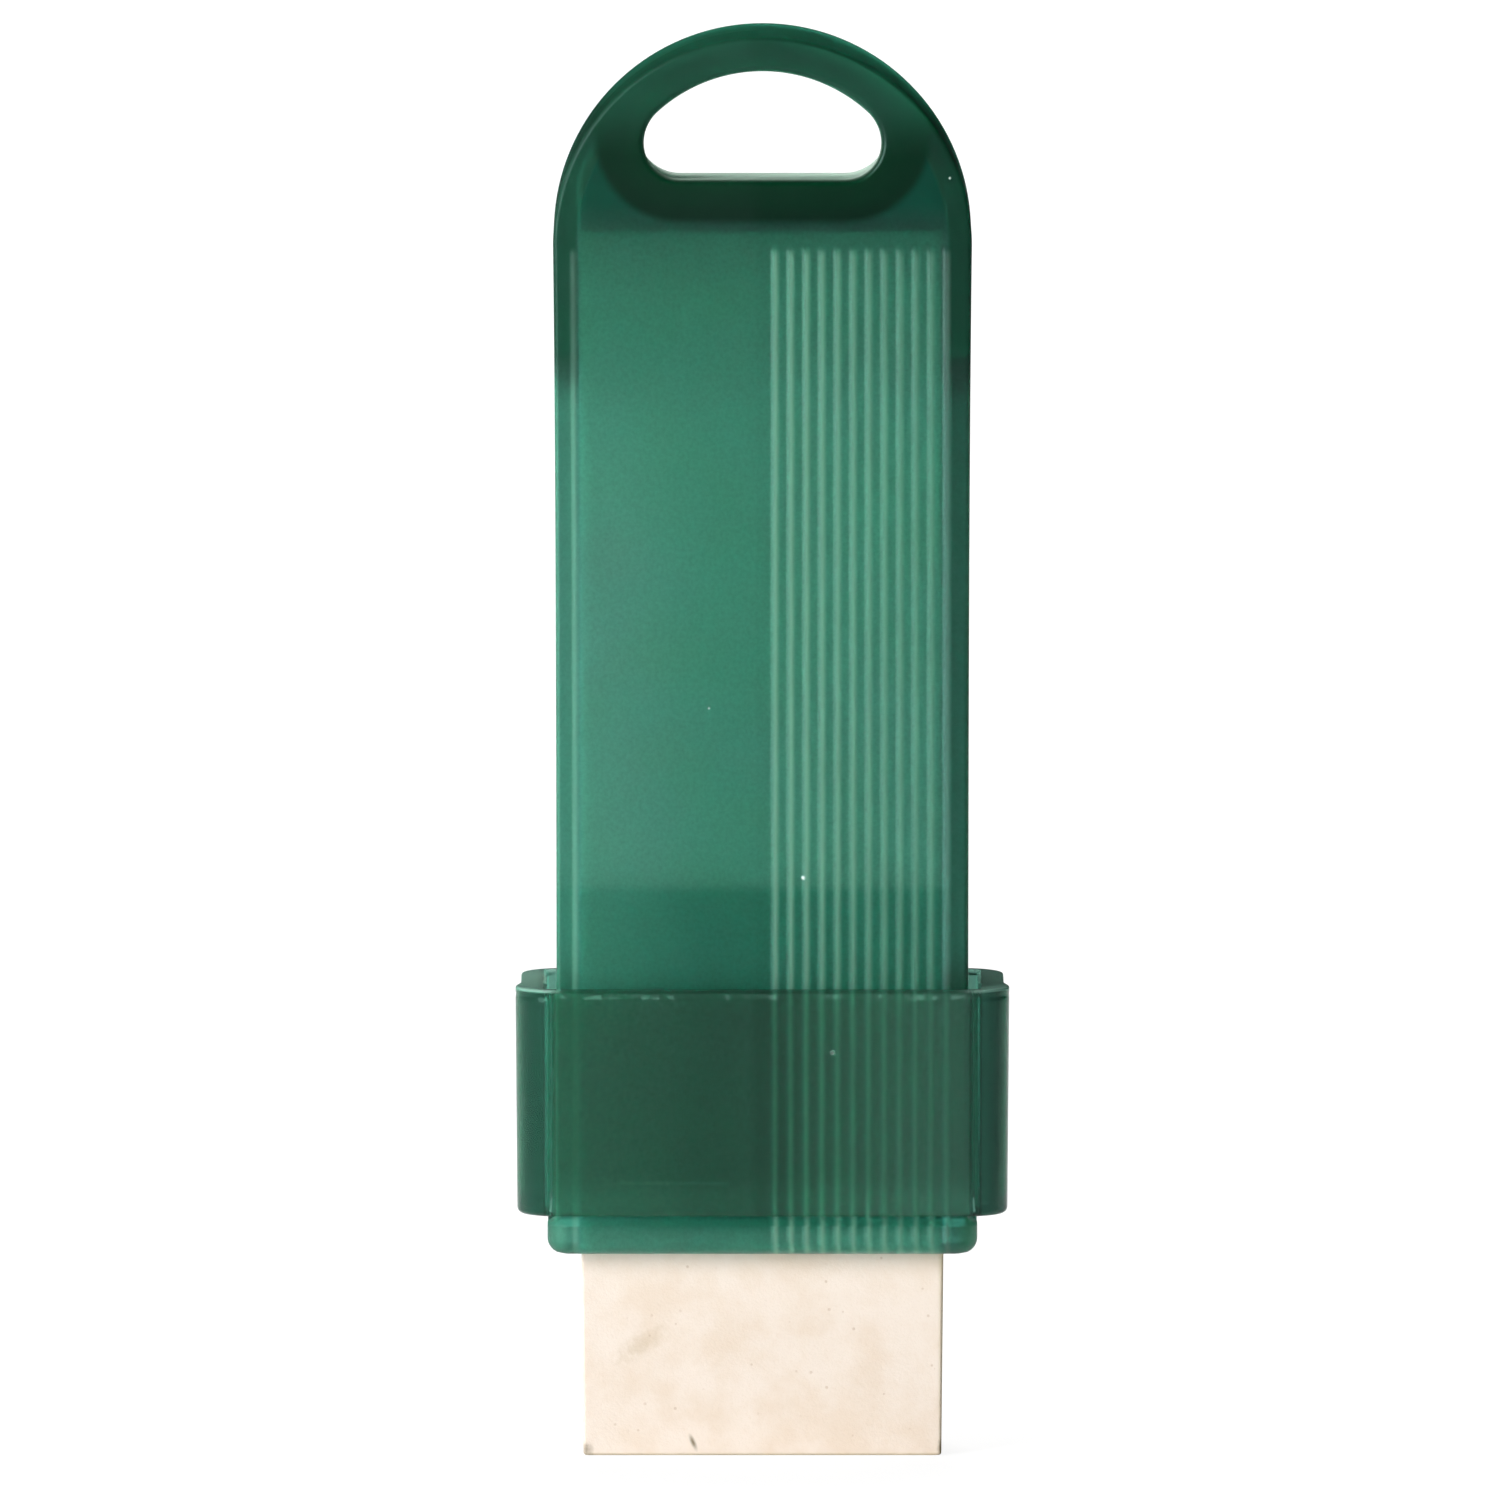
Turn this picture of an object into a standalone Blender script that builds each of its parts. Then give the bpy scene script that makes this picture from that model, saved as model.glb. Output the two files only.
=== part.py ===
"""A hand-held rust eraser: an abrasive block held between two spring leaves and clamped by a collar.

Metres, +Z up. The block stands on its working end at the origin, and the holder's ribbed front
faces -Y. Each piece is drawn from its own datum: the block from its working end, the holder from
the underside of its lip and the collar from its lower mouth.
"""

import math

import bmesh
import bpy

MM = 0.001

# Block of abrasive rubber
BLOCK_WIDTH = 30.0 * MM
BLOCK_DEPTH = 10.0 * MM
BLOCK_LENGTH = 102.0 * MM
BLOCK_EXPOSED = 17.0 * MM  # what stands out of the holder
BLOCK_EDGE = 0.25 * MM  # softened edges
BLOCK_WEAR = 0.17 * MM  # how far rubbing has drawn in each side at the working end

# Running fits between the pieces
BLOCK_SIDE_GAP = 0.3 * MM
BLOCK_FACE_GAP = 0.8 * MM
BLOCK_END_GAP = 0.9 * MM  # top of the block to the boss above it
GRIP_GAP = 0.3 * MM  # crest of a jaw tooth to the block
COLLAR_FACE_GAP = 0.2 * MM  # collar to the crests of the ribs
COLLAR_SIDE_GAP = 0.57 * MM
COLLAR_REST_GAP = 0.3 * MM  # collar above the lip that stops it

# Walls and outline of the holder
FACE_WALL = 1.0 * MM
SIDE_WALL = 2.0 * MM
ARCH_WALL = 1.0 * MM  # wall round the top corners of the cavity
EDGE_ROUND = 0.4 * MM
SIDE_TAPER = 0.27 * MM  # how much nearer each side stands at the lip than at the arch
CROWN_BAND = 2.75 * MM  # material over the hang hole

# Hang hole, flat below and arched above, with its outline's sizes where it is narrowest, near the front
HOLE_WIDTH = 19.6 * MM
HOLE_HEIGHT = 9.1 * MM
HOLE_CROWN_RADIUS = 12.85 * MM
HOLE_UPPER_CORNER = 3.5 * MM
HOLE_LOWER_CORNER = 3.1 * MM
HOLE_DRAFT = 0.6 * MM  # how far its wall opens from the front to the back
HOLE_RIM = 0.55 * MM  # radius of its rims

# Solid boss round the hang hole, which ends the cavity
BOSS_BELOW = 3.45 * MM
BOSS_BESIDE = 4.0 * MM
BOSS_CORNER = 7.0 * MM

# Side slots that part the tube into two leaves
SLOT_WIDTH = 7.0 * MM
SLOT_STOP = 9.7 * MM  # solid side wall between the slot and the foot of the arch

# Jaw pads inside the leaves, with teeth across them
JAW_LENGTH = 30.5 * MM
JAW_RAMP = 0.5 * MM
JAW_MARGIN = 1.5 * MM  # plain pad above and below the teeth
TOOTH_HEIGHT = 0.25 * MM
TOOTH_PITCH = 2.4 * MM
TOOTH_CREST = 0.6 * MM
TOOTH_FLANK = 0.3 * MM
MOUTH_LEAD = 0.25 * MM

# Lip that the collar rests on
LIP_HEIGHT = 3.0 * MM
LIP_SHOULDER = 0.6 * MM
LIP_CATCH = 0.3 * MM  # how far the lip reaches past the collar's inner face
LIP_SIDE_PROUD = 0.5 * MM
LIP_ROUND = 1.3 * MM
LIP_CORNER = 2.0 * MM

# Grip ribs on the right half of the front, and one line near its left edge
RIB_COUNT = 12
RIB_PITCH = 1.28 * MM
RIB_RADIUS = 0.225 * MM
RIB_HEIGHT = 0.2 * MM
RIB_EDGE_MARGIN = 1.82 * MM  # last rib to the edge of the flat front
LINE_RADIUS = 0.2 * MM
LINE_HEIGHT = 0.1 * MM
LINE_EDGE_MARGIN = 1.15 * MM
RIB_RISE = 0.2 * MM  # how far the ribs run past the foot of the arch
RIB_END_TURN = 45.0  # degrees of the lip's lower round that the ribs follow

# Clamping collar
COLLAR_HEIGHT = 18.9 * MM
COLLAR_FACE_WALL = 1.2 * MM
COLLAR_SIDE_WALL = 2.58 * MM
COLLAR_CORNER = 3.7 * MM
COLLAR_DRAFT = 0.15 * MM  # how far each outer side draws in from top to bottom
COLLAR_EAR = 0.43 * MM  # how far each front corner stands out sideways past the back one
COLLAR_EAR_SLOPE = 3.2 * MM  # length of side over which an ear dies out
COLLAR_LOWER_ROUND = 0.5 * MM
COLLAR_UPPER_ROUND = 0.15 * MM
COLLAR_LEAD = 0.3 * MM  # chamfer inside both mouths

# How finely round shapes are divided
ARCH_STEPS = 48
CORNER_STEPS = 6
CROWN_STEPS = 16
ROUND_STEPS = 4
EDGE_SEGMENTS = 3
MERGE = 0.001 * MM
FLAT_ANGLE = math.radians(0.5)
SHARP_ANGLE = math.radians(35.0)
OVERRUN = 1.0 * MM  # how far a cutting shape passes the surface that it cuts

# Sizes that follow from those above
CAVITY_HALF_WIDTH = BLOCK_WIDTH / 2 + BLOCK_SIDE_GAP
CAVITY_HALF_DEPTH = BLOCK_DEPTH / 2 + BLOCK_FACE_GAP
BODY_HALF_WIDTH = CAVITY_HALF_WIDTH + SIDE_WALL
BODY_HALF_DEPTH = CAVITY_HALF_DEPTH + FACE_WALL
BOSS_Z = BLOCK_LENGTH - BLOCK_EXPOSED + BLOCK_END_GAP
HOLE_Z = BOSS_Z + BOSS_BELOW
CROWN_Z = HOLE_Z + HOLE_HEIGHT + CROWN_BAND
ARCH_Z = CROWN_Z - BODY_HALF_WIDTH
SLOT_TOP_Z = ARCH_Z - SLOT_STOP
BODY_FOOT_Z = LIP_ROUND
FLAT_HALF_WIDTH = BODY_HALF_WIDTH - EDGE_ROUND
TOOTH_CREST_HALF_DEPTH = BLOCK_DEPTH / 2 + GRIP_GAP
JAW_HALF_DEPTH = TOOTH_CREST_HALF_DEPTH + TOOTH_HEIGHT
LIP_FACE_PROUD = RIB_HEIGHT + COLLAR_FACE_GAP + LIP_CATCH
COLLAR_INNER_HALF_WIDTH = BODY_HALF_WIDTH + COLLAR_SIDE_GAP
COLLAR_INNER_HALF_DEPTH = BODY_HALF_DEPTH + RIB_HEIGHT + COLLAR_FACE_GAP
COLLAR_INNER_CORNER = EDGE_ROUND + COLLAR_FACE_GAP
COLLAR_HALF_WIDTH = COLLAR_INNER_HALF_WIDTH + COLLAR_SIDE_WALL
COLLAR_HALF_DEPTH = COLLAR_INNER_HALF_DEPTH + COLLAR_FACE_WALL

# An outline drawn in X and Z for the front, and one drawn in Y and Z for the side
FRONT_VIEW = (math.pi / 2, 0.0, 0.0)
SIDE_VIEW = (math.pi / 2, 0.0, math.pi / 2)


def clear_scene():
    """Remove every object, so that the model starts from nothing."""
    for item in list(bpy.data.objects):
        bpy.data.objects.remove(item, do_unlink=True)


def new_collection(name):
    """Add a collection under the scene's own."""
    collection = bpy.data.collections.new(name)
    bpy.context.scene.collection.children.link(collection)
    return collection


def place(name, data, collection, parent):
    """Add an object for the data, drawn from its parent's datum."""
    item = bpy.data.objects.new(name, data)
    collection.objects.link(item)
    item.parent = parent
    return item


def datum(name, collection, height, parent=None):
    """Add an empty on the object's long axis, which a sliding piece is drawn from."""
    empty = place(name, None, collection, parent)
    empty.location = (0.0, 0.0, height)
    return empty


def as_cutter(item):
    """Mark a shape that only cuts or joins another."""
    item.hide_render = True
    item.display_type = "WIRE"
    return item


def combine(item, tool, operation):
    """Cut a shape with another, or join the two."""
    modifier = item.modifiers.new(operation.title() + " " + tool.name, "BOOLEAN")
    modifier.operation = operation
    modifier.object = tool
    modifier.solver = "EXACT"


def smooth(mesh):
    """Shade round faces smooth and keep true corners sharp."""
    mesh.shade_smooth()
    mesh.set_sharp_from_angle(angle=SHARP_ANGLE)


def linear(red, green, blue):
    """Turn a screen colour, 0 to 255, into the linear colour that a shader takes."""
    channels = [value / 255.0 for value in (red, green, blue)]
    curved = [value / 12.92 if value <= 0.04045 else ((value + 0.055) / 1.055) ** 2.4 for value in channels]
    return (*curved, 1.0)


def material(name, colour, roughness, transmission=0.0):
    """Make a plain finish."""
    finish = bpy.data.materials.new(name)
    finish.use_nodes = True
    shader = finish.node_tree.nodes["Principled BSDF"]
    shader.inputs["Base Color"].default_value = colour
    shader.inputs["Roughness"].default_value = roughness
    shader.inputs["Metallic"].default_value = 0.0
    shader.inputs["Transmission Weight"].default_value = transmission
    finish.diffuse_color = colour
    return finish


def arc(center, radius, start, end, steps):
    """Points along an arc, in degrees counted anticlockwise from the first axis."""
    points = []
    for step in range(steps + 1):
        angle = math.radians(start + (end - start) * step / steps)
        points.append((center[0] + radius * math.cos(angle), center[1] + radius * math.sin(angle)))
    return points


def rounded_rectangle(half_width, half_depth, corner):
    """A loop of points round a rectangle with round corners, centred on the long axis."""
    x = half_width - corner
    y = half_depth - corner
    loop = []
    for center, start in (((x, y), 0), ((-x, y), 90), ((-x, -y), 180), ((x, -y), 270)):
        loop += arc(center, corner, start, start + 90, CORNER_STEPS)
    return loop


def eared_rectangle(half_width, half_depth, corner, ear):
    """A loop round a rectangle whose front corners stand out sideways past its back ones by an ear."""
    front = half_width - corner
    back = front - ear
    y = half_depth - corner
    slope_end = COLLAR_EAR_SLOPE - y
    loop = arc((back, y), corner, 0, 90, CORNER_STEPS)
    loop += arc((-back, y), corner, 90, 180, CORNER_STEPS)
    loop.append((ear - half_width, slope_end))
    loop += arc((-front, -y), corner, 180, 270, CORNER_STEPS)
    loop += arc((front, -y), corner, 270, 360, CORNER_STEPS)
    loop.append((half_width - ear, slope_end))
    return loop


def loft(name, loops, collection, parent, closed=False):
    """Skin a solid over loops of equal length, capped at both ends or closed on itself."""
    shape = bmesh.new()
    rings = [[shape.verts.new(point) for point in loop] for loop in loops]
    pairs = list(zip(rings, rings[1:]))
    if closed:
        pairs.append((rings[-1], rings[0]))
    else:
        shape.faces.new(rings[0])
        shape.faces.new(rings[-1])
    for lower, upper in pairs:
        for index in range(len(lower)):
            following = (index + 1) % len(lower)
            shape.faces.new((lower[index], lower[following], upper[following], upper[index]))
    bmesh.ops.recalc_face_normals(shape, faces=shape.faces)
    mesh = bpy.data.meshes.new(name)
    shape.to_mesh(mesh)
    shape.free()
    smooth(mesh)
    return place(name, mesh, collection, parent)


def curve_to_solid(item):
    """Turn a curve into a closed mesh in its place, with its caps welded and its flats whole."""
    bpy.context.view_layer.update()
    graph = bpy.context.evaluated_depsgraph_get()
    mesh = bpy.data.meshes.new_from_object(item.evaluated_get(graph))
    shape = bmesh.new()
    shape.from_mesh(mesh)
    bmesh.ops.remove_doubles(shape, verts=shape.verts, dist=MERGE)
    bmesh.ops.dissolve_limit(shape, angle_limit=FLAT_ANGLE, verts=shape.verts, edges=shape.edges)
    bmesh.ops.recalc_face_normals(shape, faces=shape.faces)
    shape.to_mesh(mesh)
    shape.free()
    smooth(mesh)
    solid = place(item.name, mesh, item.users_collection[0], item.parent)
    solid.rotation_euler = item.rotation_euler
    bpy.data.objects.remove(item)
    solid.name = mesh.name
    return solid


def extruded(name, points, half_thickness, view, collection, parent):
    """A flat outline pulled out to both sides."""
    curve = bpy.data.curves.new(name, "CURVE")
    curve.dimensions = "2D"
    curve.fill_mode = "BOTH"
    curve.extrude = half_thickness
    spline = curve.splines.new("POLY")
    spline.points.add(len(points) - 1)
    for slot, (x, y) in zip(spline.points, points):
        slot.co = (x, y, 0.0, 1.0)
    spline.use_cyclic_u = True
    item = place(name, curve, collection, parent)
    item.rotation_euler = view
    return curve_to_solid(item)


def lip_profile():
    """Heights down the lip, each with how far the surface stands inside the lip's widest face."""
    top_inset = LIP_FACE_PROUD
    profile = [(LIP_HEIGHT, top_inset), (LIP_HEIGHT - LIP_SHOULDER, 0.0)]
    for step in range(ROUND_STEPS + 1):
        turn = math.radians(90.0 * step / ROUND_STEPS)
        height = LIP_ROUND * (1.0 - math.sin(turn))
        profile.append((height, LIP_ROUND * (1.0 - math.cos(turn))))
    return profile


def rib_path(x, lean, radius, height):
    """Centre points of one rib, down the front face, which it may lean across, and over the lip."""
    face = BODY_HALF_DEPTH + height - radius
    lip_face = face + LIP_FACE_PROUD
    lowest = LIP_ROUND * (1.0 - math.sin(math.radians(RIB_END_TURN)))
    path = [(x, -face, ARCH_Z + RIB_RISE)]
    for z, inset in lip_profile():
        if z >= lowest - MERGE:
            path.append((x + lean, inset - lip_face, z))
    return path


def rib_solids(collection, parent):
    """The grip ribs and the edge line beside the tapering left side, as round wires half sunk in the face."""
    curve = bpy.data.curves.new("rib_wires", "CURVE")
    curve.dimensions = "3D"
    curve.bevel_depth = RIB_RADIUS
    curve.bevel_resolution = 1
    curve.use_fill_caps = True
    last = FLAT_HALF_WIDTH - RIB_EDGE_MARGIN
    wires = [(last - index * RIB_PITCH, 0.0, RIB_RADIUS, RIB_HEIGHT) for index in range(RIB_COUNT)]
    wires.append((LINE_EDGE_MARGIN - FLAT_HALF_WIDTH, SIDE_TAPER, LINE_RADIUS, LINE_HEIGHT))
    for x, lean, radius, height in wires:
        path = rib_path(x, lean, radius, height)
        spline = curve.splines.new("POLY")
        spline.points.add(len(path) - 1)
        for slot, point in zip(spline.points, path):
            slot.co = (*point, 1.0)
            slot.radius = radius / RIB_RADIUS
    return as_cutter(curve_to_solid(place("rib_wires", curve, collection, parent)))


def body_solid(collection, parent):
    """The holder's outer form: straight tapering sides under a half-round arch."""
    foot = BODY_HALF_WIDTH - SIDE_TAPER
    outline = [(-foot, BODY_FOOT_Z), (foot, BODY_FOOT_Z)]
    outline += arc((0.0, ARCH_Z), BODY_HALF_WIDTH, 0, 180, ARCH_STEPS)
    body = extruded("holder", outline, BODY_HALF_DEPTH, FRONT_VIEW, collection, parent)
    rounding = body.modifiers.new("Round the front and back edges", "BEVEL")
    rounding.width = EDGE_ROUND
    rounding.segments = EDGE_SEGMENTS
    rounding.limit_method = "ANGLE"
    rounding.angle_limit = math.radians(60.0)
    return body


def lip_solid(collection, parent):
    """The lip round the mouth, a rounded block that grows out of the body."""
    half_width = BODY_HALF_WIDTH + LIP_SIDE_PROUD
    half_depth = BODY_HALF_DEPTH + LIP_FACE_PROUD
    slope = LIP_SHOULDER / LIP_FACE_PROUD
    sunk = FACE_WALL / 4
    buried = (LIP_HEIGHT + sunk * slope, LIP_FACE_PROUD + sunk)
    loops = []
    for z, inset in [buried] + lip_profile():
        loop = rounded_rectangle(half_width - inset, half_depth - inset, LIP_CORNER - min(inset, LIP_ROUND))
        loops.append([(x, y, z) for x, y in loop])
    return as_cutter(loft("lip", loops, collection, parent))


def jaw_profile():
    """Half depths of the cavity up its height, with the teeth of one jaw pad."""
    profile = [(-OVERRUN, JAW_HALF_DEPTH + MOUTH_LEAD), (0.0, JAW_HALF_DEPTH + MOUTH_LEAD)]
    profile.append((MOUTH_LEAD, JAW_HALF_DEPTH))
    tooth = TOOTH_CREST + 2 * TOOTH_FLANK
    room = JAW_LENGTH - 2 * JAW_MARGIN - tooth
    for index in range(int(room / TOOTH_PITCH) + 1):
        z = JAW_MARGIN + index * TOOTH_PITCH
        profile.append((z, JAW_HALF_DEPTH))
        profile.append((z + TOOTH_FLANK, TOOTH_CREST_HALF_DEPTH))
        profile.append((z + TOOTH_FLANK + TOOTH_CREST, TOOTH_CREST_HALF_DEPTH))
        profile.append((z + tooth, JAW_HALF_DEPTH))
    profile.append((JAW_LENGTH, JAW_HALF_DEPTH))
    profile.append((JAW_LENGTH + JAW_RAMP, CAVITY_HALF_DEPTH))
    profile.append((CROWN_Z, CAVITY_HALF_DEPTH))
    return profile


def boss_outline():
    """The boss round the hang hole, square above and round at its two lower corners."""
    half_width = HOLE_WIDTH / 2 + BOSS_BESIDE
    x = half_width - BOSS_CORNER
    outline = arc((-x, BOSS_Z + BOSS_CORNER), BOSS_CORNER, 180, 270, CORNER_STEPS * 2)
    outline += arc((x, BOSS_Z + BOSS_CORNER), BOSS_CORNER, 270, 360, CORNER_STEPS * 2)
    outline += [(half_width, CROWN_Z + OVERRUN), (-half_width, CROWN_Z + OVERRUN)]
    return outline


def cavity_solid(collection, parent):
    """The space inside the holder: the block's room, the jaws' teeth and two horns beside the boss."""
    radius = BODY_HALF_WIDTH - ARCH_WALL
    lean = math.degrees(math.acos(CAVITY_HALF_WIDTH / radius))
    front = [(-CAVITY_HALF_WIDTH, -OVERRUN), (CAVITY_HALF_WIDTH, -OVERRUN)]
    front += arc((0.0, ARCH_Z), radius, lean, 180.0 - lean, ARCH_STEPS)
    room = extruded("cavity", front, CAVITY_HALF_DEPTH + OVERRUN, FRONT_VIEW, collection, parent)
    jaws = jaw_profile()
    side = [(depth, z) for z, depth in jaws] + [(-depth, z) for z, depth in reversed(jaws)]
    depth = extruded("cavity_depth", side, CAVITY_HALF_WIDTH + OVERRUN, SIDE_VIEW, collection, parent)
    boss = extruded("boss", boss_outline(), BODY_HALF_DEPTH + OVERRUN, FRONT_VIEW, collection, parent)
    combine(room, as_cutter(depth), "INTERSECT")
    combine(room, as_cutter(boss), "DIFFERENCE")
    return as_cutter(room)


def slot_solid(collection, parent):
    """The slot through both sides, open at the mouth and round at its top."""
    half = SLOT_WIDTH / 2
    outline = [(-half, -OVERRUN), (half, -OVERRUN)]
    outline += arc((0.0, SLOT_TOP_Z - half), half, 0, 180, CORNER_STEPS * 2)
    half_length = BODY_HALF_WIDTH + LIP_SIDE_PROUD + OVERRUN
    return as_cutter(extruded("side_slot", outline, half_length, SIDE_VIEW, collection, parent))


def hole_loop(y, growth):
    """The hang hole's outline at one depth, grown outward by the same amount all round.

    The crown passes into the upper corners, whose centres lie where the two radii touch, and the
    lower corners fit below those.
    """
    crown_z = HOLE_Z + HOLE_HEIGHT - HOLE_CROWN_RADIUS
    upper_x = HOLE_WIDTH / 2 - HOLE_UPPER_CORNER
    upper_z = crown_z + math.sqrt((HOLE_CROWN_RADIUS - HOLE_UPPER_CORNER) ** 2 - upper_x ** 2)
    lower_corner = min(HOLE_LOWER_CORNER, upper_z - HOLE_Z)
    lower_x = HOLE_WIDTH / 2 - lower_corner
    lower_z = HOLE_Z + lower_corner
    tangent = math.degrees(math.atan2(upper_z - crown_z, upper_x))
    crown = HOLE_CROWN_RADIUS + growth
    upper = HOLE_UPPER_CORNER + growth
    lower = lower_corner + growth
    loop = arc((lower_x, lower_z), lower, -90, 0, CORNER_STEPS)
    loop += arc((upper_x, upper_z), upper, 0, tangent, CORNER_STEPS)
    loop += arc((0.0, crown_z), crown, tangent, 180 - tangent, CROWN_STEPS)[1:-1]
    loop += arc((-upper_x, upper_z), upper, 180 - tangent, 180, CORNER_STEPS)
    loop += arc((-lower_x, lower_z), lower, 180, 270, CORNER_STEPS)
    return [(x, y, z) for x, z in loop]


def hole_solid(collection, parent):
    """The hang hole as one plug, which opens towards the back and has round rims."""
    straight = BODY_HALF_DEPTH - HOLE_RIM
    rim = [(straight, 0.0)]
    for step in range(1, EDGE_SEGMENTS):
        turn = math.radians(90.0 * step / EDGE_SEGMENTS)
        rim.append((straight + HOLE_RIM * math.sin(turn), HOLE_RIM * (1.0 - math.cos(turn))))
    rim.append((BODY_HALF_DEPTH + HOLE_RIM / 10, HOLE_RIM))
    stations = [(-y, growth) for y, growth in reversed(rim)]
    stations += [(y, growth + HOLE_DRAFT) for y, growth in rim]
    loops = [hole_loop(y, growth) for y, growth in stations]
    return as_cutter(loft("hang_hole", loops, collection, parent))


def make_holder(collection, cutters, parent):
    """The one-piece holder."""
    holder = body_solid(collection, parent)
    combine(holder, lip_solid(cutters, parent), "UNION")
    combine(holder, rib_solids(cutters, parent), "UNION")
    combine(holder, cavity_solid(cutters, parent), "DIFFERENCE")
    combine(holder, slot_solid(cutters, parent), "DIFFERENCE")
    combine(holder, hole_solid(cutters, parent), "DIFFERENCE")
    holder.data.materials.append(material("holder_green", linear(60, 130, 106), 0.45, 0.3))
    return holder


def collar_section():
    """The collar's wall cut through: height, inset of the outside, or inset of the inside."""
    outside = [(0.0, COLLAR_LOWER_ROUND + COLLAR_DRAFT)]
    for step in range(1, EDGE_SEGMENTS + 1):
        turn = math.radians(90.0 * step / EDGE_SEGMENTS)
        height = COLLAR_LOWER_ROUND * (1.0 - math.cos(turn))
        outside.append((height, COLLAR_LOWER_ROUND * (1.0 - math.sin(turn)) + COLLAR_DRAFT))
    outside.append((COLLAR_HEIGHT - COLLAR_UPPER_ROUND, 0.0))
    outside.append((COLLAR_HEIGHT, COLLAR_UPPER_ROUND))
    inside = [(COLLAR_HEIGHT, -COLLAR_LEAD), (COLLAR_HEIGHT - COLLAR_LEAD, 0.0)]
    inside += [(COLLAR_LEAD, 0.0), (0.0, -COLLAR_LEAD)]
    return outside, inside


def make_collar(collection, parent):
    """The clamping collar, one wall carried round a rectangle with round corners and two front ears."""
    outside, inside = collar_section()
    loops = []
    for z, inset in outside:
        loop = eared_rectangle(
            COLLAR_HALF_WIDTH - inset, COLLAR_HALF_DEPTH - inset, COLLAR_CORNER - inset, COLLAR_EAR
        )
        loops.append([(x, y, z) for x, y in loop])
    for z, inset in inside:
        loop = eared_rectangle(
            COLLAR_INNER_HALF_WIDTH - inset, COLLAR_INNER_HALF_DEPTH - inset, COLLAR_INNER_CORNER - inset, 0.0
        )
        loops.append([(x, y, z) for x, y in loop])
    collar = loft("lock_ring", loops, collection, parent, closed=True)
    collar.data.materials.append(material("collar_green", linear(44, 80, 66), 0.45, 0.3))
    return collar


def make_block(collection):
    """The abrasive block, drawn in a little where it has been rubbed."""
    sections = [(0.0, BLOCK_WEAR + BLOCK_EDGE), (BLOCK_EDGE, BLOCK_WEAR), (BLOCK_EXPOSED, 0.0)]
    sections += [(BLOCK_LENGTH - BLOCK_EDGE, 0.0), (BLOCK_LENGTH, BLOCK_EDGE)]
    loops = []
    for z, inset in sections:
        loop = rounded_rectangle(BLOCK_WIDTH / 2 - inset, BLOCK_DEPTH / 2 - inset, BLOCK_EDGE)
        loops.append([(x, y, z) for x, y in loop])
    block = loft("eraser_block", loops, collection, None)
    block.data.materials.append(material("abrasive_rubber", linear(252, 236, 221), 0.9))
    return block


def main():
    """Build the three pieces."""
    clear_scene()
    parts = new_collection("rust_eraser")
    cutters = new_collection("cutters")
    make_block(parts)
    holder_datum = datum("holder_slide", parts, BLOCK_EXPOSED)
    make_holder(parts, cutters, holder_datum)
    collar_datum = datum("ring_slide", parts, LIP_HEIGHT + COLLAR_REST_GAP, holder_datum)
    make_collar(parts, collar_datum)


main()
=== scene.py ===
"""Looks of a hand-held rust eraser: a gritty cream block in a translucent green holder with a sliding collar.

Metres, +Z up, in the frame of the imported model. The ribbed front faces -Y.
"""

import math

import bmesh
import bpy
import numpy as np
from bpy.props import FloatProperty, FloatVectorProperty, IntProperty, PointerProperty
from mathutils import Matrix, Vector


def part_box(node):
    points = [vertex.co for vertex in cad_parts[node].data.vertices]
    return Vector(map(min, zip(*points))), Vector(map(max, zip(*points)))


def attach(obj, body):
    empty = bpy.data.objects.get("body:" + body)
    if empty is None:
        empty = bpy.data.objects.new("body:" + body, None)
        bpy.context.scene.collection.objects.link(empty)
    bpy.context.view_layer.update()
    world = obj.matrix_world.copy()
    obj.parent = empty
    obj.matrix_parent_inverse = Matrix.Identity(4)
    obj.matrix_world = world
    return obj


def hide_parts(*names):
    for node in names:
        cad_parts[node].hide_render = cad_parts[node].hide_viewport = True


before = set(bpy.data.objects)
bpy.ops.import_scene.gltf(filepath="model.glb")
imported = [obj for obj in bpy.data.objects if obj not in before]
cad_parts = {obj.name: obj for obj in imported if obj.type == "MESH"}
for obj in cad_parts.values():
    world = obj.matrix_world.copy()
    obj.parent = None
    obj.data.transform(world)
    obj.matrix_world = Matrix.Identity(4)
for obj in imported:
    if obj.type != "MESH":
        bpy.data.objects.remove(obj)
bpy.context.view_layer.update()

bl_info = {
    "name": "Rust eraser",
    "version": (1, 0, 0),
    "blender": (4, 5, 0),
    "location": "View3D > Sidebar > Rust eraser",
    "description": "Models a rust eraser in its clamping holder and sets it up as a studio picture",
    "category": "Add Mesh",
}

MM = 0.001
BLOCK_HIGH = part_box("eraser_block")[1]
HOLDER_LOW, HOLDER_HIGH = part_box("holder")
COLLAR_LOW, COLLAR_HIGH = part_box("lock_ring")

CORNER_STEPS = 12
ROUND_STEPS = 8
FLOOR_STEPS = 96
SHARP_ANGLE = math.radians(38.0)
WELD = 0.0005 * MM
OVERRUN = 1.0 * MM  # how far a cutting shape passes what it cuts
WHITE = (1.0, 1.0, 1.0, 1.0)

# Waves that add up to an unevenness: share of the wave length, slant, start and height
WAVES = ((1.0, 1.7, 0.0, 0.5), (0.43, 2.9, 1.0, 0.3), (0.19, 5.3, 2.0, 0.2))

# Places on the front, as X and Z in millimetres, and for the dots their radius
HOLDER_DOTS = (((15.46, 106.5), 0.17), ((3.36, 48.4), 0.28), ((-4.43, 62.5), 0.16))
# Where a soft light streak is painted on the holder's front
LIGHT_STREAK_PLACE = (-6.4, 94.7)
COLLAR_DOT = (5.8, 34.0)
SMUDGE_PLACE = (-10.0, 9.3)
CORNER_DIRT = (15.0, 0.9)
FOOT_DIRT = (-14.6, 0.5)
NICK_PLACE = (-5.75, 1.1)


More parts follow.
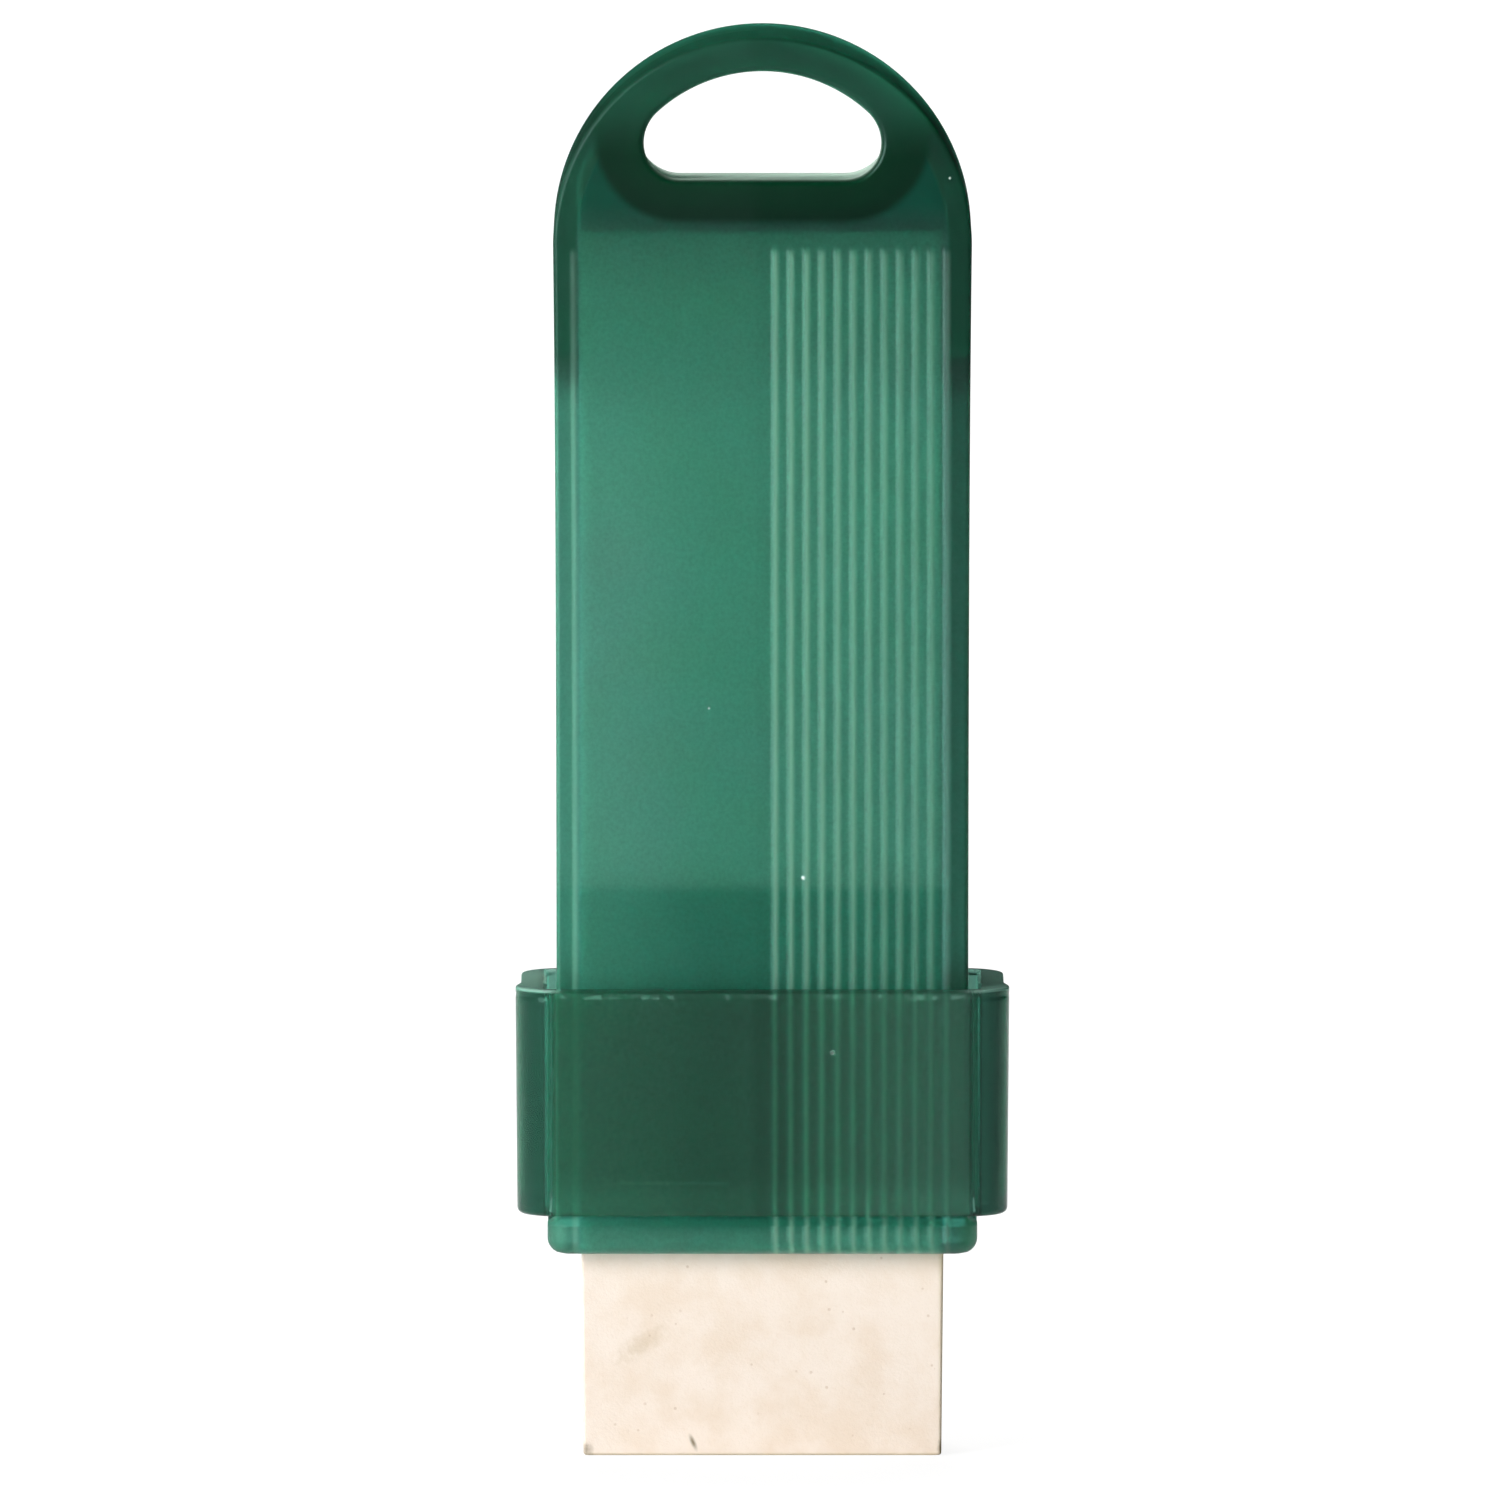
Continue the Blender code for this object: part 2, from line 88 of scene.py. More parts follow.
def length(name, millimetres, description):
    """A size, given in millimetres and kept in metres."""
    return FloatProperty(
        name=name,
        default=millimetres * MM,
        description=description,
        min=0.0,
        precision=5,
        subtype="DISTANCE",
        unit="LENGTH",
    )


def amount(name, default, description, most=1.0):
    """A plain number from 0 up to the most it may be."""
    return FloatProperty(name=name, default=default, description=description, min=0.0, max=most)


def linear(channels):
    """Turn a screen colour, 0 to 255, into the linear colour that a shader takes."""
    shares = np.array(channels) / 255.0
    return tuple(np.where(shares <= 0.04045, shares / 12.92, ((shares + 0.055) / 1.055) ** 2.4).tolist())


def colour(name, channels, description):
    """A colour, given as on screen from 0 to 255."""
    return FloatVectorProperty(
        name=name,
        default=linear(channels),
        description=description,
        size=3,
        min=0.0,
        max=1.0,
        subtype="COLOR",
    )


class HolderSettings(bpy.types.PropertyGroup):
    """Sizes and colours of the moulded holder"""

    lip_proud: length("Lip proud of face", 0.7, "How far the lip stands out of the front and back")
    lip_side: length("Lip proud of side", 0.5, "How far the lip stands out of each side")
    lip_height: length("Lip height", 3.0, "Height of the lip with its shoulder")
    lip_shoulder: length("Lip shoulder", 0.6, "Height of the slope above the lip")
    lip_round: length("Lip round", 1.3, "Radius under the lip")
    lip_corner: length("Lip corner", 2.0, "Corner radius of the lip seen from below")
    edge_round: length("Edge round", 0.4, "Radius of the front and back edges")
    side_taper: length("Side taper", 0.28, "How far each side draws in below the arch")
    taper_reach: length("Taper reach", 22.0, "Length over which most of the taper happens")
    arch_wall: length("Arch wall", 1.0, "Wall round the top corners of the room")
    block_side_gap: length("Side gap", 0.3, "Air between the block and each side wall")
    block_face_gap: length("Face gap", 0.8, "Air between the block and each leaf")
    block_tip_gap: length("Tip gap", 0.12, "Air between the block's upper end and each leaf")
    tip_reach: length("Tip reach", 22.0, "Length over which the room narrows to that")
    block_end_gap: length("End gap", 0.9, "Air between the block's top and the boss")
    crown_band: length("Crown band", 2.9, "Material over the hang hole")
    hole_width: length("Hole width", 19.6, "Least width of the hang hole")
    hole_height: length("Hole height", 8.95, "Least height of the hang hole")
    hole_crown: length("Hole crown radius", 12.85, "Radius of the hang hole's arched top")
    hole_upper: length("Hole upper corner", 3.5, "Radius of the hang hole's upper corners")
    hole_lower: length("Hole lower corner", 3.1, "Radius of the hang hole's lower corners")
    hole_draft: length("Hole draft", 0.6, "How far the hang hole opens from the front to the back")
    hole_rim: length("Hole rim", 0.55, "Radius of the hang hole's rims")
    boss_beside: length("Boss beside hole", 4.0, "Solid plastic beside the hang hole")
    boss_corner: length("Boss corner", 7.0, "Radius of the boss's lower corners")
    slot_width: length("Slot width", 7.0, "Width of the slot in each side")
    slot_stop: length("Slot stop", 9.7, "Side wall between the slot and the arch")
    jaw_length: length("Jaw length", 30.5, "Length of the toothed pad inside each leaf")
    tooth_height: length("Tooth height", 0.25, "Height of a jaw tooth")
    tooth_pitch: length("Tooth pitch", 2.4, "Distance from tooth to tooth")
    grip_gap: length("Grip gap", 0.3, "Air between a tooth and the block")
    rib_count: IntProperty(name="Grip ribs", default=12, description="Ribs on the right", min=1, max=16)
    rib_pitch: length("Rib pitch", 1.29, "Distance from rib to rib")
    rib_half: length("Rib half width", 0.45, "Half of a rib's width at its foot")
    rib_margin: length("Rib margin", 1.68, "Last rib to the edge of the flat front")
    rib_curl: length("Rib curl", 0.12, "How far the ribs' upper ends curl to the left")
    line_margin: length("Edge line margin", 1.3, "Edge line to the edge of the flat front")
    line_height: length("Edge line height", 0.06, "Height of the line at the left edge")
    line_half: length("Edge line half width", 0.42, "Half width of the line at the left edge")
    thin_green: colour("Thin green", (151, 212, 202), "Tint where the plastic is thin")
    wall_green: colour("Wall green", (119, 228, 192), "Tint of the arch and the side walls")
    # The deep plastic's colour with painted shade
    boss_green: colour("Boss green", (28, 114, 80), "Tint of the solid boss")
    # Painted shade beside the boss
    horn_shade_green: colour("Horn green", (54, 165, 144), "Tint beside the boss, where the room is empty")
    # Painted highlight on the ribs' worn crests and the edge line
    crest_highlight_green: colour("Crest green", (214, 255, 238), "Tint of the ribs' worn crests")
    # Painted highlight on the hang hole's wall
    hole_highlight_green: colour("Hole green", (222, 240, 228), "Tint of the hang hole's wall")
    passed_green: colour("Passed green", (0, 219, 206), "Colour that passes through the plastic's depth")
    density: amount("Density", 340.0, "Absorption for each metre of plastic", most=10000.0)
    clear: amount("Clearness", 0.94, "Share of light let in")


class CollarSettings(bpy.types.PropertyGroup):
    """Sizes and colours of the clamping collar"""

    face_wall: length("Face wall", 1.2, "Wall at the front and back")
    side_wall: length("Side wall", 2.58, "Wall at each side")
    corner: length("Corner", 3.7, "Outer corner radius seen from above")
    inner_corner: length("Inner corner", 0.6, "Inner corner radius seen from above")
    draft: length("Draft", 0.15, "How far each side draws in from top to bottom")
    lower_round: length("Lower round", 0.5, "Radius of the lower outer edge")
    upper_round: length("Upper round", 0.2, "Radius of the upper outer edge")
    lead: length("Lead", 0.3, "Chamfer inside both mouths")
    burr: length("Burr", 0.05, "Height of the rough bead under the upper front edge")
    ear: length("Ear", 0.43, "How much wider the front of the collar is than its back")
    thin_green: colour("Thin green", (152, 206, 188), "Tint of the plastic")
    wall_green: colour("Wall green", (119, 228, 192), "Tint of denser streaks in the plastic")
    passed_green: colour("Passed green", (0, 219, 206), "Colour that passes through the plastic's depth")
    density: amount("Density", 340.0, "Absorption for each metre of plastic", most=10000.0)
    clear: amount("Clearness", 0.94, "Share of light let in")


class BlockSettings(bpy.types.PropertyGroup):
    """Sizes and colours of the abrasive block"""

    edge: length("Edge", 0.25, "Softening of the edges")
    wear: length("Wear", 0.17, "How far each side has been rubbed in at the working end")
    grit: length("Grit", 0.04, "Depth of its fine grain")
    cream: colour("Cream", (248, 235, 222), "Colour of the rubber")
    grey_cream: colour("Darker cream", (241, 224, 206), "Colour of its darker patches")
    speck: colour("Speck", (176, 140, 100), "Colour of the abrasive grains")
    dirt: colour("Dirt", (96, 84, 30), "Colour of the dirt at its edges")


class StageSettings(bpy.types.PropertyGroup):
    """Camera, lamps and floor"""

    distance: length("Camera distance", 3000.0, "Camera to the object's middle")
    elevation: FloatProperty(
        name="Camera height",
        default=math.radians(6.1),
        description="Angle above level",
        subtype="ANGLE",
        unit="ROTATION",
    )
    width: length("Frame width", 124.3, "Width that the picture covers at the object")
    aim_x: FloatProperty(name="Aim X", default=-1.03 * MM, description="Middle of the picture", unit="LENGTH")
    aim_z: length("Aim Z", 58.3, "Middle of the picture")
    floor: length("Floor radius", 2000.0, "Radius of the pale floor")
    front_sky: amount("Front light", 0.03, "Even light from the front")
    back_sky: amount("Back light", 0.005, "Even light from behind")


class Finish:
    """One procedural material, put together from nodes. Lengths in it are millimetres."""

    def __init__(self, name):
        self.material = bpy.data.materials.new(name)
        self.material.use_nodes = True
        self.tree = self.material.node_tree
        self.shader = self.tree.nodes["Principled BSDF"]
        self.surface = self.tree.nodes["Material Output"]
        object_place = self.tree.nodes.new("ShaderNodeTexCoord").outputs["Object"]
        self.place = self.scaled(object_place, (1 / MM, 1 / MM, 1 / MM))
        parts = self.add("ShaderNodeSeparateXYZ", Vector=self.place)
        self.x, self.y, self.z = parts.outputs

    def put(self, socket, value):
        """Link a socket to another, or set its number."""
        if isinstance(value, bpy.types.NodeSocket):
            self.tree.links.new(value, socket)
        else:
            socket.default_value = value

    def add(self, kind, **inputs):
        """Add a node and fill the inputs that are named."""
        node = self.tree.nodes.new(kind)
        for name, value in inputs.items():
            self.put(node.inputs[name.replace("_", " ")], value)
        return node

    def set(self, **inputs):
        """Fill inputs of the shader."""
        for name, value in inputs.items():
            self.put(self.shader.inputs[name.replace("_", " ")], value)

    def scaled(self, vector, scale=(1.0, 1.0, 1.0), location=(0.0, 0.0, 0.0), rotation=(0.0, 0.0, 0.0)):
        """A place moved, turned and scaled."""
        return self.add(
            "ShaderNodeMapping", Vector=vector, Scale=scale, Location=location, Rotation=rotation
        ).outputs[0]

    def math(self, operation, first, second=0.0, third=0.0):
        """One sum of up to three values."""
        node = self.tree.nodes.new("ShaderNodeMath")
        node.operation = operation
        for socket, value in zip(node.inputs, (first, second, third)):
            self.put(socket, value)
        return node.outputs[0]

    def size(self, value):
        """A value without its sign."""
        return self.math("ABSOLUTE", value)

    def past(self, value, start):
        """How far a value has passed a start, and 0 before it."""
        return self.math("MAXIMUM", self.math("SUBTRACT", value, start), 0.0)

    def span(self, first, second):
        """The length of two values at right angles."""
        squares = self.math("MULTIPLY_ADD", first, first, self.math("MULTIPLY", second, second))
        return self.math("SQRT", squares)

    def distance(self, place):
        """How far a place is from the middle."""
        node = self.tree.nodes.new("ShaderNodeVectorMath")
        node.operation = "LENGTH"
        self.put(node.inputs[0], place)
        return node.outputs["Value"]

    def total(self, base, *parts):
        """A base with masks added to it, each given with its strength."""
        for mask, strength in parts:
            base = self.math("MULTIPLY_ADD", mask, strength, base)
        return base

    def both(self, *masks):
        """Multiply masks."""
        value = masks[0]
        for mask in masks[1:]:
            value = self.math("MULTIPLY", value, mask)
        return value

    def ease(self, value, start, end, before=0.0, after=1.0):
        """Change smoothly from before to after as the value goes from start to end."""
        node = self.tree.nodes.new("ShaderNodeMapRange")
        node.interpolation_type = "SMOOTHSTEP"
        for socket, number in zip(node.inputs, (value, start, end, before, after)):
            self.put(socket, number)
        return node.outputs[0]

    def within(self, value, start, end, soft):
        """1 between start and end and 0 outside, with soft borders."""
        rise = self.ease(value, start - soft, start + soft)
        return self.both(rise, self.ease(value, end + soft, end - soft))

    def noise(self, size, detail=2.0, roughness=0.5):
        """Cloudy noise, 0 to 1, whose patches are about the given size."""
        scale = 1.0 / size
        return self.add(
            "ShaderNodeTexNoise", Vector=self.place, Scale=scale, Detail=detail, Roughness=roughness
        ).outputs[0]

    def specks(self, size, radius):
        """Round specks, 1 inside and 0 outside, one in each cell of the given size at most."""
        cells = self.add("ShaderNodeTexVoronoi", Vector=self.place, Scale=1.0 / size)
        return self.ease(cells.outputs["Distance"], radius / size, radius / size * 0.6)

    def spot(self, center, half_axes, turn=0.0, ragged=0.0):
        """A soft elliptic spot, 1 in the middle and 0 from its rim outward, turned by degrees."""
        moved = self.scaled(self.place, (1.0, 0.0, 1.0), (-center[0], 0.0, -center[1]))
        turned = self.scaled(moved, rotation=(0.0, math.radians(turn), 0.0))
        far = self.distance(self.scaled(turned, (1.0 / half_axes[0], 1.0, 1.0 / half_axes[1])))
        if ragged:
            far = self.math("ADD", far, self.total(-ragged / 2, (self.noise(0.5, detail=3.0), ragged)))
        return self.ease(far, 1.0, 0.0)

    def mix(self, factor, first, second):
        """Blend two colours."""
        node = self.tree.nodes.new("ShaderNodeMix")
        node.data_type = "RGBA"
        self.put(node.inputs["Factor"], factor)
        for name, value in (("A", first), ("B", second)):
            socket = next(s for s in node.inputs if s.name == name and s.type == "RGBA")
            self.put(socket, value if isinstance(value, bpy.types.NodeSocket) else (*value, 1.0))
        return next(s for s in node.outputs if s.type == "RGBA")

    def shade(self, colour, factor):
        """Make a colour lighter or darker by a factor."""
        node = self.tree.nodes.new("ShaderNodeVectorMath")
        node.operation = "SCALE"
        self.put(node.inputs[0], colour)
        self.put(node.inputs["Scale"], factor)
        return node.outputs[0]

    def tinted(self, mask, colour, change):
        """Multiply a colour by another where the mask is."""
        node = self.tree.nodes.new("ShaderNodeVectorMath")
        node.operation = "MULTIPLY"
        self.put(node.inputs[0], colour)
        self.put(node.inputs[1], change)
        return self.mix(mask, colour, node.outputs[0])

    def bump(self, height, depth, below=None):
        """Raise the surface by a height of 0 to 1 times a depth, over what is below."""
        node = self.add("ShaderNodeBump", Height=height, Distance=depth * MM, Strength=1.0)
        if below is not None:
            self.put(node.inputs["Normal"], below)
        return node.outputs[0]


def smoothstep(value, start, end):
    """Rise from 0 to 1 between start and end by 3t^2 - 2t^3."""
    share = np.clip((value - start) / (end - start), 0.0, 1.0)
    return share * share * (3.0 - 2.0 * share)


def hump(distance, half_width):
    """A round bump, the square of a cosine: 1 in the middle and 0 from half_width outward."""
    return np.cos(np.clip(np.abs(distance) / half_width, 0.0, 1.0) * np.pi / 2) ** 2


def waver(along, across, wave):
    """Sines of unlike wave lengths added up, between -1 and 1."""
    sines = (
        height * np.sin(2 * np.pi * along / (share * wave) + slant * across + start)
        for share, slant, start, height in WAVES
    )
    return sum(sines)


def stations(start, *stretches):
    """Values from a start through stretches, each given as its end and its number of even steps."""
    values = [np.array([start])]
    for end, steps in stretches:
        values.append(np.linspace(start, end, steps + 1)[1:])
        start = end
    return np.concatenate(values)


def quarter_turn(steps, end=90.0):
    """Angles from 0 to the end, in degrees, as radians."""
    return np.radians(np.linspace(0.0, end, steps + 1))


def arc(center, radius, start, end, steps):
    """Points on a circle from one angle to another, in degrees, as an array of pairs."""
    angle = np.radians(np.linspace(start, end, steps + 1))
    return np.stack((center[0] + radius * np.cos(angle), center[1] + radius * np.sin(angle)), axis=1)


def rounded_loop(long_steps, short_steps):
    """A rounded rectangle as a moving centre and a turning radius.

    Each point is the centre (cx, cy), in shares of the straight sides' half lengths, plus the corner
    radius in the direction of the angle. The centre stands still round a corner and the angle stands
    still along a side.
    """
    centers = []
    angles = []
    signs = ((1, 1), (-1, 1), (-1, -1), (1, -1))
    for index, sign in enumerate(signs):
        start = index * 90.0
        following = signs[(index + 1) % 4]
        angles.append(np.radians(np.linspace(start, start + 90.0, CORNER_STEPS + 1)))
        centers.append(np.tile(np.array(sign, float), (CORNER_STEPS + 1, 1)))
        steps = (long_steps, short_steps)[index % 2]
        share = np.linspace(0.0, 1.0, steps + 1)[1:-1, None]
        centers.append(np.array(sign) * (1 - share) + np.array(following) * share)
        angles.append(np.full(steps - 1, math.radians(start + 90.0)))
    centers = np.concatenate(centers)
    return centers[:, 0], centers[:, 1], np.concatenate(angles)


def stacked_sections(loop, half_width, half_depth, corner, height):
    """Carry a rounded loop up through sections: each point is the side's centre plus the corner's radius."""
    cx, cy, angle = loop
    half_width, half_depth, corner, height = (
        np.asarray(values, float)[:, None] for values in (half_width, half_depth, corner, height)
    )
    x = cx * (half_width - corner) + corner * np.cos(angle)
    y = cy * (half_depth - corner) + corner * np.sin(angle)
    return np.stack((x, y, np.broadcast_to(height, x.shape)), axis=-1)


def quads(rows, columns, close_rows=False, close_columns=True):
    """The corners of the faces between the neighbouring points of a grid, joined round where it closes."""
    index = np.arange(rows * columns).reshape(rows, columns)
    if close_columns:
        index = np.hstack((index, index[:, :1]))
    if close_rows:
        index = np.vstack((index, index[:1]))
    corners = (index[:-1, :-1], index[:-1, 1:], index[1:, 1:], index[1:, :-1])
    return np.stack(corners, axis=-1).reshape(-1, 4).tolist()


def add_object(name, data):
    """Put an object with this mesh, lamp or camera in the scene."""
    item = bpy.data.objects.new(name, data)
    bpy.context.scene.collection.objects.link(item)
    return item


def solid(name, points, close_rows=False, close_columns=True):
    """A closed mesh over a grid of points, rows by columns, with open ends capped and seams welded."""
    mesh = bpy.data.meshes.new(name)
    mesh.from_pydata(points.reshape(-1, 3), [], quads(*points.shape[:2], close_rows, close_columns))
    shape = bmesh.new()
    shape.from_mesh(mesh)
    bmesh.ops.remove_doubles(shape, verts=shape.verts, dist=WELD)
    bmesh.ops.dissolve_degenerate(shape, edges=shape.edges, dist=WELD)
    bmesh.ops.holes_fill(shape, edges=[edge for edge in shape.edges if edge.is_boundary])
    bmesh.ops.recalc_face_normals(shape, faces=shape.faces)
    shape.to_mesh(mesh)
    shape.free()
    return add_object(name, mesh)


def prism(name, outline, half_length, axis):
    """A flat outline carried along X or Y to both sides."""
    first, second = outline[:, 0], outline[:, 1]
    loops = []
    for end in (-half_length, half_length):
        across = np.full(len(outline), end)
        loops.append(np.stack((across, first, second) if axis == "X" else (first, across, second), axis=1))
    return solid(name, np.array(loops))


def carve(item, *cutters):
    """Cut shapes out of a piece, and remove them afterwards."""
    for cutter in cutters:
        cut = item.modifiers.new(cutter.name, "BOOLEAN")
        cut.operation = "DIFFERENCE"
        cut.solver = "EXACT"
        cut.object = cutter
    bpy.context.view_layer.update()
    mesh = bpy.data.meshes.new_from_object(item.evaluated_get(bpy.context.evaluated_depsgraph_get()))
    item.modifiers.clear()
    item.data = mesh
    for cutter in cutters:
        bpy.data.objects.remove(cutter)
    return item


def finish_piece(item, name, material, body, node):
    """Shade a piece, give it its finish and let it stand for its CAD node."""
    item.name = name
    item.data.name = name
    item.data.shade_smooth()
    item.data.set_sharp_from_angle(angle=SHARP_ANGLE)
    item.data.materials.clear()
    item.data.materials.append(material)
    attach(item, body)
    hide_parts(node)


class HolderShape:
    """Heights and half sizes that the holder's surfaces share, from its box and its settings."""

    rib_end = 0.25 * MM  # upper ends of the ribs over the arch's foot
    curl_reach = 1.6 * MM  # stretch below their ends in which the ribs curl
    fade_reach = 1.1 * MM  # stretch in which a rib dies out at its upper end
    rib_start = 0.35 * MM  # lower ends of the ribs over the holder's foot
    rib_full = 1.1 * MM  # height over the foot at which they stand at their full height
    wave = 7.0 * MM  # length of the ribs' unevenness
    dips = 0.09  # share of a rib's height that its unevenness takes away on average

    def __init__(self, sizes):
        self.sizes = sizes
        self.foot = HOLDER_LOW.z
        self.half_width = HOLDER_HIGH.x - sizes.lip_side
        self.half_depth = HOLDER_HIGH.y - sizes.lip_proud
        self.rib_height = -HOLDER_LOW.y - HOLDER_HIGH.y
        self.arch = HOLDER_HIGH.z - self.half_width
        self.flat = self.half_width - sizes.edge_round
        self.hole = HOLDER_HIGH.z - sizes.crown_band - sizes.hole_height
        self.boss = BLOCK_HIGH.z + sizes.block_end_gap
        self.slot_top = self.arch - sizes.slot_stop
        self.last_rib = self.flat - sizes.rib_margin
        self.ribs_from = self.last_rib - (sizes.rib_count - 0.5) * sizes.rib_pitch

    def taper(self, height):
        """How far each side has drawn in below the arch, by an exponential curve."""
        below_arch = np.maximum(self.arch - self.foot - height, 0.0)
        return self.sizes.side_taper * (1.0 - np.exp(-below_arch / self.sizes.taper_reach))

    def outside(self, height):
        """Half width, half depth and corner radius of the outside, by height above the foot.

        The lip grows out of the body over its shoulder by a smooth step and turns in below by a
        quarter circle.
        """
        sizes = self.sizes
        taper = self.taper(height)
        lip = 1.0 - smoothstep(height, sizes.lip_height - sizes.lip_shoulder, sizes.lip_height)
        drop = np.clip(1.0 - height / sizes.lip_round, 0.0, 1.0)
        inset = sizes.lip_round * (1.0 - np.sqrt(1.0 - drop**2))
        half_width = (self.half_width - taper) * (1 - lip) + (self.half_width + sizes.lip_side - inset) * lip
        half_depth = self.half_depth + (sizes.lip_proud - inset) * lip
        corner = sizes.edge_round * (1 - lip) + (sizes.lip_corner - inset) * lip
        return half_width, half_depth, corner

    def rib_relief(self, x, height):
        """Height of the ribs over the front face.

        Each rib is a squared cosine across, a little uneven along its length, with its top end
        curled a trace to the left. The edge line keeps its distance from the tapering left side.
        They fade in under the arch and out round the lip's lower edge.
        """
        sizes = self.sizes
        top = self.arch - self.foot + self.rib_end
        curl = sizes.rib_curl * smoothstep(height, top - self.curl_reach, top) ** 2
        relief = np.zeros_like(x)
        for index in range(sizes.rib_count):
            center = self.last_rib - index * sizes.rib_pitch - curl
            uneven = 1.0 - self.dips * (1.0 + waver(height, index, self.wave))
            relief = np.maximum(relief, uneven * hump(x - center, sizes.rib_half))
        line = hump(x + self.flat - sizes.line_margin - self.taper(height), sizes.line_half)
        line *= sizes.line_height / self.rib_height
        fade = smoothstep(-height, -top, self.fade_reach - top)
        fade *= smoothstep(height, self.rib_start, self.rib_full)
        return self.rib_height * fade * np.maximum(relief, line)


def holder_skin(shape):
    """The holder's closed outside: half a section carried up one side, round the arch and down the other.

    The half section runs from the middle of the front over the edge round, the side and the back
    edge round to the middle of the back. Up the sides its reach is measured along X, and round the
    arch along the radius.
    """
    sizes = shape.sizes
    top = shape.arch - shape.foot
    under_curl = top - shape.curl_reach
    height = stations(0.0, (sizes.lip_round, 10), (sizes.lip_height, 12), (under_curl, 89), (top, 9))
    angle = np.radians(stations(0.4, (1.0, 1), (2.5, 1), (177.5, 70), (179.0, 1), (179.6, 1)))
    half_width, half_depth, corner = shape.outside(height)

    def all_round(straight, arch):
        return np.concatenate((straight, np.full(len(angle), arch), straight[::-1]))[:, None]

    depth = all_round(half_depth, shape.half_depth)
    radius = all_round(corner, sizes.edge_round)
    edge = all_round(half_width - corner, shape.flat)
    base = all_round(height, top)
    turn = np.concatenate((np.zeros(len(height)), angle, np.full(len(height), np.pi)))[:, None]

    across_rib = sizes.rib_half * np.linspace(-1.0, 1.0, ROUND_STEPS + 1)
    across = np.concatenate(([-sizes.rib_pitch / 2], across_rib))
    ribs = shape.last_rib - sizes.rib_pitch * np.arange(sizes.rib_count)[::-1, None]
    front = np.concatenate(([0.0], (ribs + across).ravel()))
    beside = stations(0.0, (1.0, 10))[1:]
    quarter = quarter_turn(ROUND_STEPS)[1:]
    behind = quarter - quarter[0]
    side = np.linspace(-1.0, 1.0, ROUND_STEPS + 1)[1:-1]
    inward = np.linspace(1.0, 0.0, CORNER_STEPS + 1)
    section = (
        (front, -depth),
        (front[-1] + beside * (edge - front[-1]), -depth),
        (edge + radius * np.sin(quarter), -(depth - radius) - radius * np.cos(quarter)),
        (edge + radius, (depth - radius) * side),
        (edge + radius * np.cos(behind), (depth - radius) + radius * np.sin(behind)),
        (edge * inward, depth),
    )
    reach, y = (np.hstack(parts) for parts in zip(*(np.broadcast_arrays(*pair) for pair in section)))
    x = np.cos(turn) * reach
    z = base + np.sin(turn) * reach
    fronts = len(front) + len(beside)
    y[:, :fronts] -= shape.rib_relief(x[:, :fronts], z[:, :fronts])
    return solid("holder_skin", np.stack((x, y, z + shape.foot), axis=-1), close_columns=False)


def holder_room(shape):
    """The room for the block: rounded rectangles stacked up the holder, and arched at the top.

    Near the mouth it is narrower by the pads, whose teeth are trapezoids that repeat by the pitch.
    Above the pads a smooth step widens it, and it narrows again to the block's upper end.
    """
    sizes = shape.sizes
    toothless = 1.5 * MM  # smooth stretch at both ends of a pad
    crest = 0.6 * MM
    flank = 0.3 * MM
    lead = 0.25 * MM
    step = 0.6 * MM
    corner = 0.5 * MM
    past_pad = sizes.jaw_length + toothless
    into_boss = 93.0 * MM  # upper end of the room, inside the boss that is cut out of it
    height = stations(-OVERRUN, (0.0, 1), (past_pad, 219), (past_pad + toothless, 1), (into_boss, 69))
    phase = (height - toothless) % sizes.tooth_pitch
    tooth = np.clip((crest / 2 + flank - np.abs(phase - crest / 2 - flank)) / flank, 0.0, 1.0)
    tooth *= (height > toothless) & (height < sizes.jaw_length - toothless)
    pad = BLOCK_HIGH.y + sizes.grip_gap + sizes.tooth_height * (1.0 - tooth)
    pad += lead * (1.0 - smoothstep(height, 0.0, lead))
    tip = shape.boss - shape.foot
    narrowing = (sizes.block_face_gap - sizes.block_tip_gap) * smoothstep(height, tip - sizes.tip_reach, tip)
    room = BLOCK_HIGH.y + sizes.block_face_gap - narrowing
    half_depth = pad + (room - pad) * smoothstep(height, sizes.jaw_length, sizes.jaw_length + step)
    over_arch = np.maximum(height - (shape.arch - shape.foot), 0.0)
    arched = np.sqrt(np.maximum((shape.half_width - sizes.arch_wall) ** 2 - over_arch**2, 0.0))
    half_width = np.minimum(BLOCK_HIGH.x + sizes.block_side_gap, arched)
    corners = np.full_like(height, corner)
    loop = rounded_loop(long_steps=40, short_steps=12)
    return solid("room", stacked_sections(loop, half_width, half_depth, corners, shape.foot + height))


def boss_outline(shape):
    """The boss round the hang hole, straight above and round at its two lower corners, as X and Z."""
    sizes = shape.sizes
    half_width = sizes.hole_width / 2 + sizes.boss_beside
    x = half_width - sizes.boss_corner
    z = shape.boss + sizes.boss_corner
    top = HOLDER_HIGH.z + OVERRUN
    left = arc((-x, z), sizes.boss_corner, 180, 270, CORNER_STEPS * 2)
    right = arc((x, z), sizes.boss_corner, 270, 360, CORNER_STEPS * 2)
    return np.concatenate((left, right, [(half_width, top), (-half_width, top)]))


def slot_outline(shape):
    """The side slot, open at the mouth and round at its top, as Y and Z."""
    half = shape.sizes.slot_width / 2
    top = arc((0.0, shape.slot_top - half), half, 0, 180, CORNER_STEPS * 2)
    return np.concatenate(([(-half, shape.foot - OVERRUN), (half, shape.foot - OVERRUN)], top))


